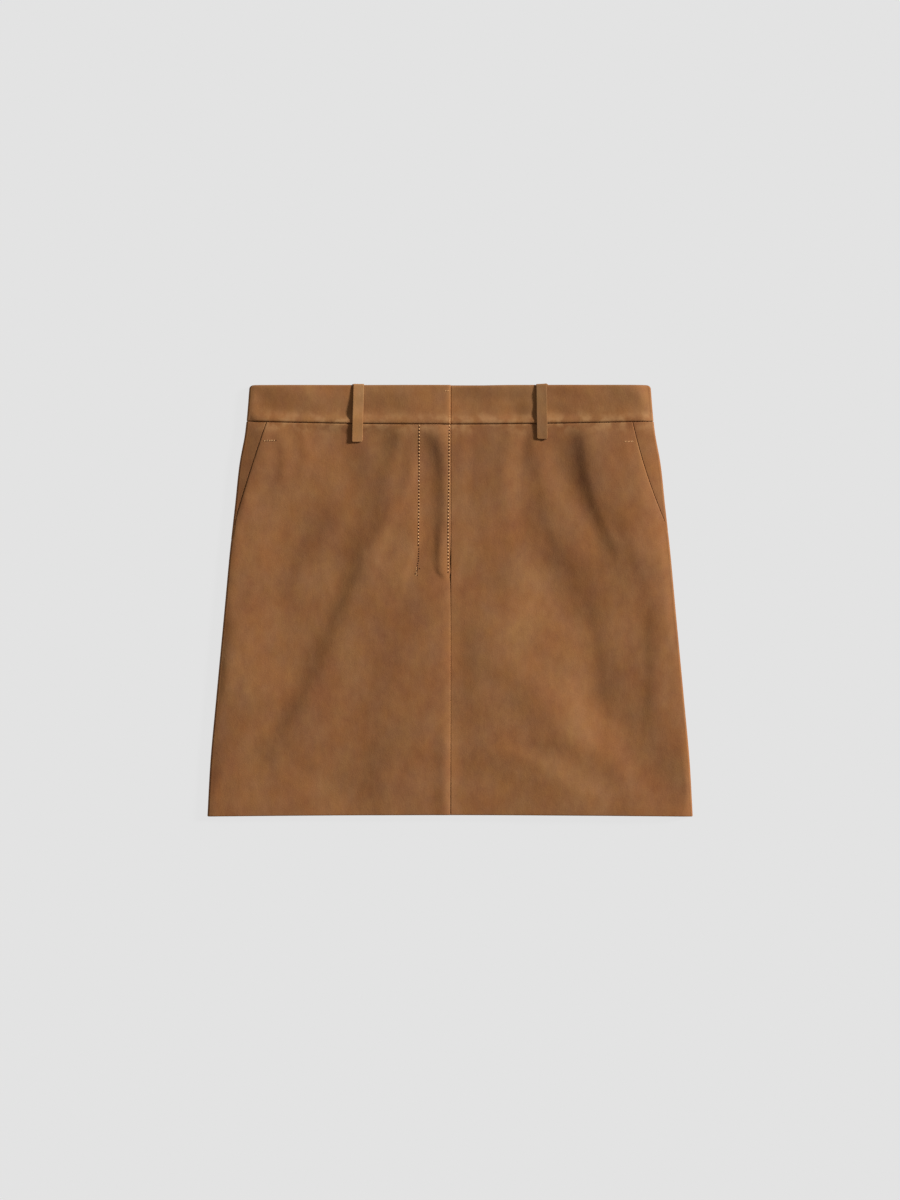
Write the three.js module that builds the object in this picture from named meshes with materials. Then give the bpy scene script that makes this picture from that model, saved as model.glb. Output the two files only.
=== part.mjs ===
// A suede mini skirt laid flat on its back: fly front, slanted hip pockets, waistband with belt loops.
//
// Millimetres, +Z up. X runs towards the wearer's left, Y towards the waist, and the underside rests
// on Z = 0. The skirt is a flattened tube. A point on it is given by `across`, the distance from the
// centre line along the cloth, and `down`, the distance below the waistband's top edge. The front and
// the back each end on the side seam, half way up the rounded side fold.

import * as THREE from "three";

// Overall size, measured on the flat skirt.
const skirtLength = 400;
const loopRise = 1.2; // the belt loops wrap over the waistband's top edge
const hemLift = 1.4; // the hem is this much shorter at the centre than at the sides

// Half of the flat width, at distances below the top edge.
const outline = [
  { down: 0, half: 186 },
  { down: 35, half: 189 },
  { down: 45, half: 190.2 },
  { down: 70, half: 194.8 },
  { down: 112, half: 199.5 },
  { down: 153, half: 204.1 },
  { down: 209, half: 209.3 },
  { down: 293, half: 217.2 },
  { down: 349, half: 222.3 },
  { down: 401, half: 225.2 },
];
const cornerRadius = 3.6; // of the waistband's top corners

// Cloth and gaps.
const suede = 1.2;
const hemWall = 2; // suede turned up and glued
const hemTurn = 30;
const bandWall = 2; // the waistband is folded double
const seamGap = 0.3;

// Heights. Each side fold is a quarter circle of the back and one of the front, a seam gap above it.
const foldRadius = 3;
const swell = 0.4; // the front rises a little from the side folds to the middle
const swellWidth = 30;
const sag = 1; // the front panels lie lower than the stiff waistband, fly and side folds

// Waistband.
const bandHeightCentre = 36.2;
const bandHeightSide = 33.5;
const bandUnderlap = 30; // the wearer's left end runs on under the right end

// Fly. The wearer's right front laps over the left front down to the fly's end.
const lapEdge = 0.5; // where the overlapping edge lies, just past the centre line
const flyEnd = 175;
const underTuck = 4; // how far the left front runs on under the fly
const flyFade = 12; // below the fly's end the two fronts come level
const flyStiff = { half: 9, fade: 12, below: 30 }; // the folds fade out towards the fly
const bandLap = { rise: 1.1, drop: 1.2, riseFrom: 66, riseTo: 46, dropWidth: 20 };
const flyLap = { rise: 0.9, drop: 0.6, riseFrom: 12, riseTo: 5, dropWidth: 16 };
const shield = { from: -34, to: 8, wall: 1.1, bottom: 1.6, end: flyEnd + 2 };
const zip = { from: -20, to: 4, wall: 1, bottom: 3.2, end: flyEnd - 6 };
const zipChain = { centre: -8, halfWidth: 2.6, rise: 0.6 };

// Slanted hip pockets. Each opening runs from the waist seam down to the side seam.
const pockets = {
  right: { top: 170, end: 146, bow: 1 },
  left: { top: 169, end: 138, bow: -3 },
};
const facing = { wall: 1, tuck: 25, rise: 9, columns: 14, crowding: 1.6 }; // tucked under the front
const cornerStretch = 24; // where a slanted edge turns round the side fold

// Belt loops, as sewn strips that wrap over the top edge. `lean` is the sideways run of the lower end.
const loopWidth = 10;
const loopWall = 1.2;
const loops = [
  { name: "belt_loop_front_right", x: -84.6, lean: -1.4, length: 54.5, face: "front" },
  { name: "belt_loop_front_left", x: 86, lean: 0.6, length: 52, face: "front" },
  { name: "belt_loop_back_right", x: -86, lean: 0, length: 52, face: "back" },
  { name: "belt_loop_back_left", x: 86, lean: 0, length: 52, face: "back" },
];
const loopStand = 1.5; // clear space under a front loop
const loopHook = { front: 3, back: 1.4 }; // how far the upper end reaches in over the top edge
const loopFoot = 8; // the lower end is folded under
const pressed = { lift: loopWall + seamGap, slope: 7, beside: 0.6, below: 2 }; // the back over its loops

// Soft folds of the front. A fold is a ridge with a crest from start to end, bowed sideways, and
// with a left and a right flank of its own width.
const folds = [
  { x: -44, down: 40, endX: -137, endDown: 312, bow: 10, left: 12, right: 20, height: 2.4 },
  { x: -103, down: 118, endX: -153, endDown: 205, bow: 0, left: 14, right: 24, height: 0.9 },
  { x: -15, down: 178, endX: -42, endDown: 300, bow: 3, left: 12, right: 20, height: 0.9 },
  { x: 50, down: 42, endX: 46, endDown: 160, bow: 0, left: 26, right: 15, height: 1.2 },
  { x: 82, down: 46, endX: 155, endDown: 305, bow: 8, left: 14, right: 22, height: 1.8 },
  { x: 131, down: 40, endX: 170, endDown: 195, bow: -4, left: 10, right: 25, height: 2.4 },
  { x: 24, down: 185, endX: 120, endDown: 350, bow: -5, left: 14, right: 52, height: 2.2 },
  { x: 192, down: 165, endX: 197, endDown: 345, bow: 0, left: 8, right: 14, height: 1.1 },
  { x: -48, down: 325, endX: -36, endDown: 396, bow: 0, left: 20, right: 26, height: 0.9 },
  { x: 60, down: 330, endX: 120, endDown: 396, bow: 0, left: 20, right: 26, height: 0.9 },
];
const foldEnds = { start: 0.25, lead: 0.2, end: 0.3 }; // parts of a fold in which it rises and dies out
const foldFade = 12; // beside the side fold
const waistFade = 12; // under the waist seam

// How finely the cloth is divided.
const rowStep = 15;
const panelColumns = 13; // between those near the centre and near the side
const bandColumns = 8;
const nearCentre = [0, 3, 6, 9.5, 14, 20, 28]; // distances from a centre edge
const nearSide = [24, 14, 8, 5.2, 4.6, 3.5, 2.3, 1.2, 0]; // distances from a side edge

const topY = (skirtLength - loopRise) / 2;
const quarterFold = (foldRadius * Math.PI) / 2;

const colours = { suede: 0x875b39, suedeEdge: 0x9b7048, zip: 0x5a4632 };

function mix(start, end, part) {
  return start + (end - start) * part;
}

function held(part) {
  return Math.min(Math.max(part, 0), 1);
}

// Runs smoothly from 0 to 1 while `part` does.
function ease(part) {
  return held(part) ** 2 * (3 - 2 * held(part));
}

// ---- The skirt's shape ----

function halfWidth(down) {
  const after = outline.findIndex((row) => row.down >= down);
  const end = outline[Math.max(after, 1)];
  const start = outline[Math.max(after, 1) - 1];
  const straight = mix(start.half, end.half, (down - start.down) / (end.down - start.down));
  const inCorner = Math.max(cornerRadius - down, 0);
  return straight - (cornerRadius - Math.sqrt(cornerRadius ** 2 - inCorner ** 2));
}

// Along the cloth from the centre line to the side seam.
function sideSeam(down) {
  return halfWidth(down) - foldRadius + quarterFold;
}

function waistSeam(x) {
  return mix(bandHeightCentre, bandHeightSide, (Math.abs(x) / halfWidth(35)) ** 2);
}

function hem(x) {
  return skirtLength - hemLift * (1 - (x / outline.at(-1).half) ** 2);
}

function foldHeight(fold, x, down) {
  const run = { x: fold.endX - fold.x, down: fold.endDown - fold.down };
  const length = Math.hypot(run.x, run.down);
  const part = ((x - fold.x) * run.x + (down - fold.down) * run.down) / length ** 2;
  const onCrest = held(part);
  const aside = ((x - fold.x) * run.down - (down - fold.down) * run.x) / length;
  const fromCrest = aside - fold.bow * 4 * onCrest * (1 - onCrest);
  const flank = fromCrest < 0 ? fold.left : fold.right;
  const ends = ease(part / foldEnds.start + foldEnds.lead) * ease((1 - part) / foldEnds.end);
  return fold.height * Math.exp(-((fromCrest / flank) ** 2)) * ends;
}

// The folds and the sag between them fade out at the waist seam and beside the fly.
function foldRelief(x, down) {
  const inPanel = ease((down - waistSeam(x)) / waistFade);
  const belowFly = ease((down - flyEnd - flyFade) / flyStiff.below);
  const besideFly = mix(ease((Math.abs(x) - flyStiff.half) / flyStiff.fade), 1, belowFly);
  return folds.reduce((sum, fold) => sum + foldHeight(fold, x, down), -sag) * inPanel * besideFly;
}

// How far the front's outer side lies above the ground.
function frontHeight(x, down) {
  const fromFold = halfWidth(down) - foldRadius - Math.abs(x);
  const relief = foldRelief(x, down) * ease(fromFold / foldFade);
  return 2 * foldRadius + seamGap + swell * ease(fromFold / swellWidth) + relief;
}

// The overlapping half rises to its edge, and the other half dips under it.
function lapRise(lap, x) {
  return lap.rise * ease((x + lap.riseFrom) / (lap.riseFrom - lap.riseTo));
}

function lapDrop(lap, x) {
  return -lap.drop * (1 - ease((x - lapEdge) / lap.dropWidth));
}

function flyPart(down) {
  return 1 - ease((down - flyEnd) / flyFade);
}

// The back lies on the ground, but for where it lies over its own belt loops.
function backHeight(x, down) {
  const overLoops = loops
    .filter((loop) => loop.face === "back")
    .map((loop) => {
      const beside = (Math.abs(x - loop.x) - loopWidth / 2 - pressed.beside) / pressed.slope;
      const below = (down - loop.length - pressed.below) / pressed.slope;
      return held(1 - beside) * held(1 - below);
    });
  return pressed.lift * Math.max(...overLoops);
}

// A layer of cloth: which way is out, and the height of its outer side.
const layers = {
  back: { out: -1, height: backHeight },
  bandRight: { out: 1, height: (x, down) => frontHeight(x, down) + lapRise(bandLap, x) },
  bandLeft: { out: 1, height: (x, down) => frontHeight(x, down) + lapDrop(bandLap, x) },
  frontRight: {
    out: 1,
    height: (x, down) => frontHeight(x, down) + lapRise(flyLap, x) * flyPart(down),
  },
  frontLeft: {
    out: 1,
    height: (x, down) => frontHeight(x, down) + lapDrop(flyLap, x) * flyPart(down),
  },
};

// The point of a layer that lies `across` and `down`, and `depth` in from its outer side.
function clothPoint(layer, across, down, depth) {
  const side = across < 0 ? -1 : 1;
  const flat = halfWidth(down) - foldRadius;
  const beyond = Math.abs(across) - flat;
  const y = topY - down;
  if (beyond <= 0) {
    return [across, y, layer.height(across, down) - layer.out * depth];
  }
  const angle = beyond / foldRadius;
  const radius = foldRadius - depth;
  const centre = layer.out > 0 ? foldRadius + seamGap : foldRadius;
  const x = side * (flat + radius * Math.sin(angle));
  return [x, y, centre + layer.out * radius * Math.cos(angle)];
}

// ---- Walls ----

// A closed wall between an outer and an inner grid of points.
function wallGeometry(outer, inner) {
  const rows = outer.length;
  const columns = outer[0].length;
  const innerStart = rows * columns;
  const points = [...outer.flat(), ...inner.flat()];
  const triangles = [];
  const quad = (a, b, c, d) => triangles.push([a, b, c], [a, c, d]);
  for (let row = 0; row + 1 < rows; row++) {
    for (let column = 0; column + 1 < columns; column++) {
      const corner = row * columns + column;
      const ring = [corner, corner + columns, corner + columns + 1, corner + 1];
      quad(...ring);
      quad(...ring.map((index) => index + innerStart).reverse());
    }
  }
  const edge = [
    ...Array.from({ length: columns - 1 }, (_, column) => column),
    ...Array.from({ length: rows - 1 }, (_, row) => row * columns + columns - 1),
    ...Array.from({ length: columns - 1 }, (_, column) => rows * columns - 1 - column),
    ...Array.from({ length: rows - 1 }, (_, row) => (rows - 1 - row) * columns),
  ];
  edge.forEach((here, index) => {
    const next = edge[(index + 1) % edge.length];
    quad(here, next, next + innerStart, here + innerStart);
  });
  return facingOut(points, triangles);
}

// The sign of its volume tells which way the faces of a closed body point.
function facingOut(points, triangles) {
  const corners = points.map((point) => new THREE.Vector3(...point));
  const sixfold = ([a, b, c]) => corners[a].dot(corners[b].clone().cross(corners[c]));
  const volume = triangles.reduce((sum, triangle) => sum + sixfold(triangle), 0);
  const ordered = volume > 0 ? triangles : triangles.map((triangle) => [...triangle].reverse());
  const geometry = new THREE.BufferGeometry();
  geometry.setAttribute("position", new THREE.Float32BufferAttribute(points.flat(), 3));
  geometry.setIndex(ordered.flat());
  geometry.computeVertexNormals();
  return geometry;
}

// Even steps from start to end, with both of them.
function steps(start, end, count) {
  return Array.from({ length: count + 1 }, (_, index) => mix(start, end, index / count));
}

// Distances from a centre edge out to a side edge, closer together near both.
function columnsBetween(inner, outer, middleCount) {
  const middle = steps(inner + nearCentre.at(-1), outer - nearSide[0], middleCount);
  return [
    ...nearCentre.map((distance) => inner + distance),
    ...middle.slice(1, -1),
    ...nearSide.map((distance) => outer - distance),
  ];
}

// Rows from start to end that also stop at each of the breaks.
function rowsBetween(start, end, breaks) {
  const inside = breaks.filter((stop) => stop > start && stop < end).sort((a, b) => a - b);
  const stops = [start, ...inside, end];
  const rows = stops.slice(1).flatMap((stop, index) => {
    const count = Math.ceil((stop - stops[index]) / rowStep);
    return steps(stops[index], stop, count).slice(1);
  });
  return [start, ...rows];
}

// A panel from the waist seam to the hem. Its rows are level at the centre and bend with both edges.
function panelDown(row, x) {
  const part = (row - waistSeam(0) - seamGap) / (hem(0) - waistSeam(0) - seamGap);
  return mix(waistSeam(x) + seamGap, hem(x), part);
}

function panelRows(breaks) {
  const turn = hem(0) - hemTurn;
  return rowsBetween(waistSeam(0) + seamGap, hem(0), [...breaks, turn, turn + 0.5]);
}

function panelWall(row) {
  return row > hem(0) - hemTurn ? hemWall : suede;
}

// Builds a wall from the `across` values of each row. `wall` may change from row to row.
function clothGeometry(layer, rows, acrossAt, downAt, wallAt, sunkAt = () => 0) {
  const grid = (inset) =>
    rows.map((row) =>
      acrossAt(row).map((across) => {
        const down = downAt(row, across);
        return clothPoint(layer, across, down, sunkAt(across, down) + inset * wallAt(row));
      }),
    );
  return wallGeometry(grid(0), grid(1));
}

// ---- Pieces ----

// A pocket opening's distance from the centre line, along the cloth.
function pocketLine(pocket, down) {
  const start = waistSeam(pocket.top);
  const part = held((down - start) / (pocket.end - start));
  return mix(pocket.top, sideSeam(pocket.end), part) + pocket.bow * 4 * part * (1 - part);
}

// A front panel ends on its pocket's opening, and on the side seam below it.
function frontEnd(pocket, down) {
  return down < pocket.end ? Math.min(pocketLine(pocket, down), sideSeam(down)) : sideSeam(down);
}

// Rows close together where the slanted edge turns round the side fold.
function cornerRows(pocket) {
  return steps(pocket.end - cornerStretch, pocket.end, 6);
}

function frontGeometry(layer, side, pocket, centreEdge) {
  const flyRows = [flyEnd - 8, flyEnd - 2, flyEnd + 4, flyEnd + flyFade];
  const breaks = [...flyRows, ...cornerRows(pocket)];
  const across = (row) => {
    const sideDown = panelDown(row, halfWidth(row));
    const columns = columnsBetween(centreEdge(row), frontEnd(pocket, sideDown), panelColumns);
    return columns.map((distance) => side * distance);
  };
  return clothGeometry(layer, panelRows(breaks), across, panelDown, panelWall);
}

// The left front is tucked under the fly, and meets the right front edge to edge below it.
function leftCentreEdge(row) {
  return mix(-underTuck, lapEdge + seamGap, held((row - flyEnd + 8) / 6));
}

// A pocket facing lies under the front's slanted edge and comes up to the surface beside it.
function facingGeometry(layer, side, pocket) {
  const under = suede + 2 * seamGap;
  const rows = rowsBetween(waistSeam(0) + seamGap, pocket.end - 1, cornerRows(pocket));
  const across = (row) => {
    const sideDown = panelDown(row, halfWidth(row));
    const line = pocketLine(pocket, sideDown);
    const width = Math.max(sideSeam(sideDown) - line, 0.05);
    const outboard = steps(1, 0, facing.columns).map((rest) => line + width * (1 - rest ** facing.crowding));
    return [line - facing.tuck, line - facing.tuck / 2, ...outboard].map((distance) => side * distance);
  };
  const sunk = (x, down) => under * (1 - ease((Math.abs(x) - pocketLine(pocket, down)) / facing.rise));
  return clothGeometry(layer, rows, across, panelDown, () => facing.wall, sunk);
}

function mirrored(values) {
  return [...values.map((value) => -value), ...values.slice(0, -1).reverse()];
}

// From one side seam to the other, with columns at the slopes beside both belt loops.
function backColumns(end) {
  const loopX = loops.at(-1).x;
  const lifted = loopWidth / 2 + pressed.beside;
  const outer = nearSide.map((distance) => end - distance).reverse();
  const middle = [
    ...steps(end - nearSide[0], loopX + lifted + pressed.slope, 2).slice(1),
    loopX + lifted,
    loopX - lifted,
    ...steps(loopX - lifted - pressed.slope, 0, 2),
  ];
  return mirrored([...outer, ...middle]);
}

function backGeometry() {
  const lifted = loops.at(-1).length + pressed.below;
  const level = lifted + pressed.slope;
  const turn = hem(0) - hemTurn;
  const bends = outline.map((row) => row.down).filter((down) => down > level && down < turn);
  const rows = [waistSeam(0) + seamGap, lifted, level, ...bends, turn, turn + 0.5, hem(0)];
  const across = (row) => backColumns(sideSeam(panelDown(row, halfWidth(row))));
  return clothGeometry(layers.back, rows, across, panelDown, panelWall);
}

// Band rows are closer together at the rounded top corners.
const bandRows = [0, 0.4, 1.2, 2.4, cornerRadius, 14, 25, bandHeightCentre];

function bandDown(row, x) {
  return (row / bandHeightCentre) * waistSeam(x);
}

function bandGeometry(layer, acrossAt) {
  const across = (row) => acrossAt(sideSeam(bandDown(row, halfWidth(row))));
  return clothGeometry(layer, bandRows, across, bandDown, () => bandWall);
}

// A strip that lies level at the fly, with an optional raised rib along it.
function flyStripGeometry(strip, rib) {
  const ribSide = rib ? [rib.centre - rib.halfWidth, rib.centre + rib.halfWidth] : [];
  const bevel = 0.4;
  const columns = [strip.from, ...ribSide.flatMap((x) => [x - bevel, x + bevel]), strip.to];
  const rows = [waistSeam(0) + 1, strip.end];
  const onRib = (x) => (rib && Math.abs(x - rib.centre) < rib.halfWidth ? rib.rise : 0);
  const top = strip.bottom + strip.wall;
  const outer = rows.map((down) => columns.map((x) => [x, topY - down, top + onRib(x)]));
  const inner = rows.map((down) => columns.map((x) => [x, topY - down, strip.bottom]));
  return wallGeometry(outer, inner);
}

// A belt loop's side view, as a strip that hooks over the top edge. It is drawn with the shape's
// x along the skirt and its y upward, from the face that it is sewn on. The hook reaches `under`
// below that face, and the folded lower end `foot` below it.
function loopShape(length, stand, under, foot) {
  const end = -length;
  const outside = stand + loopWall;
  const round = Math.min(outside * 1.6, 4);
  const shape = new THREE.Shape();
  shape.moveTo(loopRise, -under);
  shape.lineTo(loopRise, outside - loopWall);
  shape.quadraticCurveTo(loopRise, outside, loopRise - round, outside);
  shape.lineTo(end + round, outside);
  shape.quadraticCurveTo(end, outside, end, outside - loopWall);
  shape.lineTo(end, -foot);
  if (stand > 0) {
    shape.lineTo(end + loopFoot, -foot);
    shape.quadraticCurveTo(end + loopFoot + 1, stand, end + loopFoot + 5, stand);
    shape.lineTo(-7, stand);
    shape.quadraticCurveTo(-4, stand, -2, 0);
  }
  shape.lineTo(seamGap, 0);
  shape.lineTo(seamGap, -under);
  shape.closePath();
  return shape;
}

// The highest point of the front under a stretch of a loop, with the gap above it.
function clearOf(loop, start, end) {
  const across = steps(loop.x - loopWidth / 2, loop.x + loopWidth / 2, 4);
  const heights = steps(start, end, 10).flatMap((down) => across.map((x) => frontHeight(x, down)));
  return Math.max(...heights) + 1.5 * seamGap;
}

function loopMesh(loop) {
  const onFront = loop.face === "front";
  const base = onFront ? clearOf(loop, 0, loop.length) : loopWall;
  const foot = onFront ? base - clearOf(loop, loop.length - loopFoot - 1, loop.length) : 0;
  const shape = loopShape(loop.length, onFront ? loopStand : 0, loopHook[loop.face], foot);
  const extrusion = { depth: loopWidth, bevelEnabled: false, curveSegments: 4 };
  const geometry = new THREE.ExtrudeGeometry(shape, extrusion);
  geometry.translate(0, 0, -loopWidth / 2);
  const along = new THREE.Vector3(0, 1, 0);
  const up = new THREE.Vector3(0, 0, onFront ? 1 : -1);
  const sideways = new THREE.Vector3(onFront ? 1 : -1, 0, 0);
  geometry.applyMatrix4(new THREE.Matrix4().makeBasis(along, up, sideways));
  geometry.applyMatrix4(new THREE.Matrix4().makeShear(0, 0, -loop.lean / loop.length, 0, 0, 0));
  const mesh = clothMesh(loop.name, geometry, colours.suedeEdge);
  mesh.position.set(loop.x, topY, base);
  return mesh;
}

function clothMesh(name, geometry, color, roughness = 0.95, metalness = 0) {
  const mesh = new THREE.Mesh(geometry, new THREE.MeshStandardMaterial({ color, roughness, metalness }));
  mesh.name = name;
  return mesh;
}

// ---- Assembly ----

const skirt = new THREE.Group();

skirt.add(
  clothMesh("back_panel", backGeometry(), colours.suede),
  clothMesh(
    "front_panel_right",
    frontGeometry(layers.frontRight, -1, pockets.right, () => -lapEdge),
    colours.suede,
  ),
  clothMesh(
    "front_panel_left",
    frontGeometry(layers.frontLeft, 1, pockets.left, leftCentreEdge),
    colours.suede,
  ),
  clothMesh("pocket_facing_right", facingGeometry(layers.frontRight, -1, pockets.right), colours.suede),
  clothMesh("pocket_facing_left", facingGeometry(layers.frontLeft, 1, pockets.left), colours.suede),
  clothMesh(
    "waistband_right",
    bandGeometry(layers.bandRight, (end) => columnsBetween(-lapEdge, end, bandColumns).map((x) => -x)),
    colours.suede,
  ),
  clothMesh(
    "waistband_left",
    bandGeometry(layers.bandLeft, (end) => [
      ...steps(-bandUnderlap, lapEdge, 3).slice(0, -1),
      ...columnsBetween(lapEdge, end, bandColumns),
    ]),
    colours.suede,
  ),
  clothMesh("waistband_back", bandGeometry(layers.back, backColumns), colours.suede),
  clothMesh("fly_shield", flyStripGeometry(shield), colours.suede),
  clothMesh("fly_zip", flyStripGeometry(zip, zipChain), colours.zip, 0.6, 0.3),
  ...loops.map(loopMesh),
);

export default skirt;
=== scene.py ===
# A suede mini skirt laid flat on its back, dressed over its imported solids.
#
# Shapes are worked out in millimetres and turned to metres when a mesh is made. X runs towards the
# wearer's left, Y towards the waist. A point on the skirt is given by its distance `across` the cloth
# from the centre line and by how far `down` it lies from the waistband's top edge.

import math

import bpy
import numpy as np
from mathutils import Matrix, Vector, noise


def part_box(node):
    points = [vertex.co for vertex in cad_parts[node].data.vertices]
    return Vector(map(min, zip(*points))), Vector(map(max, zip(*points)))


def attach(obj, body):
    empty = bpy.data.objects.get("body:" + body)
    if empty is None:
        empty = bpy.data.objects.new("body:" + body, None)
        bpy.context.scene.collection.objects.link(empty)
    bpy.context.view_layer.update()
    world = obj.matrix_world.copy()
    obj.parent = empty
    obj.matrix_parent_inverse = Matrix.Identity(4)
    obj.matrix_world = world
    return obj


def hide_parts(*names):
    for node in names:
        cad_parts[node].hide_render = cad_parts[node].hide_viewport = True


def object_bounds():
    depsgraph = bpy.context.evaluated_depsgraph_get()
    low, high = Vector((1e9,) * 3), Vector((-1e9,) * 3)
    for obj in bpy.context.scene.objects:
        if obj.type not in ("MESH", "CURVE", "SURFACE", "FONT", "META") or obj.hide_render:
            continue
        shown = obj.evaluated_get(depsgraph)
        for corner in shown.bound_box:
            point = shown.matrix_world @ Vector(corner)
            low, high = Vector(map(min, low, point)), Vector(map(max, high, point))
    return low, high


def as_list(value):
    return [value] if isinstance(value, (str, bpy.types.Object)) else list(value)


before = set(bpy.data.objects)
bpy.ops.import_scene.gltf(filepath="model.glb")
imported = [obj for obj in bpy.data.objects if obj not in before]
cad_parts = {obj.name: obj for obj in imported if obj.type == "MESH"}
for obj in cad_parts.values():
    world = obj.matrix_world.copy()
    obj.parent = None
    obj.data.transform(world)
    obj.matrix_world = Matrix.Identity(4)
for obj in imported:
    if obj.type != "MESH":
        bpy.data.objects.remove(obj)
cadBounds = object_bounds()
toMetres = 0.001


def boxOf(node):
    return [[value / toMetres for value in corner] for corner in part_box(node)]


bandBox, backBox = boxOf("waistband_right"), boxOf("back_panel")
flyBox, zipBox, shieldBox = boxOf("front_panel_right"), boxOf("fly_zip"), boxOf("fly_shield")

cut = {
    "topY": bandBox[1][1],
    "hem": bandBox[1][1] - backBox[0][1],  # how far down the hem lies at the sides
    "hemLift": 1.4,  # the hem is this much shorter at the centre
    "hemHalf": backBox[1][0],
    "cornerRadius": 3.6,  # of the waistband's top corners
    "bandCentre": 36.2,  # the waistband's height
    "bandSide": 33.5,
    "sideAt": 35.0,  # where the waist's half width is taken
    "lapEdge": flyBox[1][0],  # the overlapping edge, just past the centre line
    "flyEnd": 175,
    "underTuck": 4,  # how far the left front runs on under the fly
    "seamGap": 0.3,
    "swell": 0.8,  # the front rises from the side folds to the middle
    "swellWidth": 30,
}

# Each side fold is a quarter ellipse of the back and one of the front.
sideFold = {"front": {"spread": 2.5, "rise": 2.6}, "back": {"spread": 3, "rise": 3}}
for turn in sideFold.values():
    turn["arc"] = math.pi / 2 * math.sqrt((turn["spread"] ** 2 + turn["rise"] ** 2) / 2)
halfThick = 3  # where the front and the back meet
# The front's outer side where its side folds begin.
foldTop = halfThick + cut["seamGap"] + sideFold["front"]["rise"]
fades = {"side": 8, "waist": 9, "flyEnd": 5}  # over how many mm the relief fades there


def mix(start, end, part):
    return start + (end - start) * part


def held(part):
    return np.clip(part, 0, 1)


def ease(part):
    return held(part) ** 2 * (3 - 2 * held(part))


# A smooth curve through (place, value) stops.
def curveThrough(stops, place):
    stops = np.array(stops, dtype=float)
    place = np.clip(place, stops[0, 0], stops[-1, 0])
    slopes = np.gradient(stops[:, 1], stops[:, 0])
    row = np.clip(np.searchsorted(stops[:, 0], place, side="right") - 1, 0, len(stops) - 2)
    step = stops[row + 1, 0] - stops[row, 0]
    part = (place - stops[row, 0]) / step
    rest = 1 - part
    start = stops[row, 1] * (1 + 2 * part) * rest**2 + slopes[row] * step * part * rest**2
    end = stops[row + 1, 1] * part**2 * (3 - 2 * part) - slopes[row + 1] * step * part**2 * rest
    return start + end


# The same for each further column of a table of stops.
def curvesThrough(stops, place):
    stops = np.array(stops, dtype=float)
    return [curveThrough(stops[:, [0, column]], place) for column in range(1, stops.shape[1])]


# Half of the flat width, at distances below the top edge.
outline = np.array(
    [(0, 186), (35, 189), (45, 190.2), (70, 194.8), (112, 199.5)]
    + [(153, 204.1), (209, 209.3), (293, 217.2), (349, 222.3), (401, 225.2)]
)
outline[:, 1] *= cut["hemHalf"] / np.interp(cut["hem"], outline[:, 0], outline[:, 1])


def halfWidth(down):
    radius = cut["cornerRadius"]
    inCorner = np.maximum(radius - down, 0)
    return curveThrough(outline, down) - (radius - np.sqrt(np.maximum(radius**2 - inCorner**2, 0)))


# Where the flat part ends and the side fold begins.
def flatHalf(down, turn=sideFold["front"]):
    return halfWidth(down) - turn["spread"]


# Along the cloth from the centre line to the side seam.
def sideSeam(down, turn=sideFold["front"]):
    return flatHalf(down, turn) + turn["arc"]


def waistSeam(x):
    part = (np.abs(x) / halfWidth(np.array(cut["sideAt"]))) ** 2
    return mix(cut["bandCentre"], cut["bandSide"], part)


def hemLine(x):
    return cut["hem"] - cut["hemLift"] * (1 - (x / cut["hemHalf"]) ** 2)


# The slanted pocket edges, and how steeply each facing runs down from there to the side fold. The
# wearer's right is -1 and the left is 1.
pockets = {
    -1: {"top": 170, "end": 146, "bow": 1, "slope": 0.18, "bulge": 1},
    1: {"top": 169, "end": 138, "bow": -3, "slope": 0.14, "bulge": 1.6},
}


def pocketLine(pocket, down):
    start = waistSeam(pocket["top"])
    part = held((down - start) / (pocket["end"] - start))
    end = sideSeam(np.array(float(pocket["end"])))
    return mix(pocket["top"], end, part) + pocket["bow"] * 4 * part * (1 - part)


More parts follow.
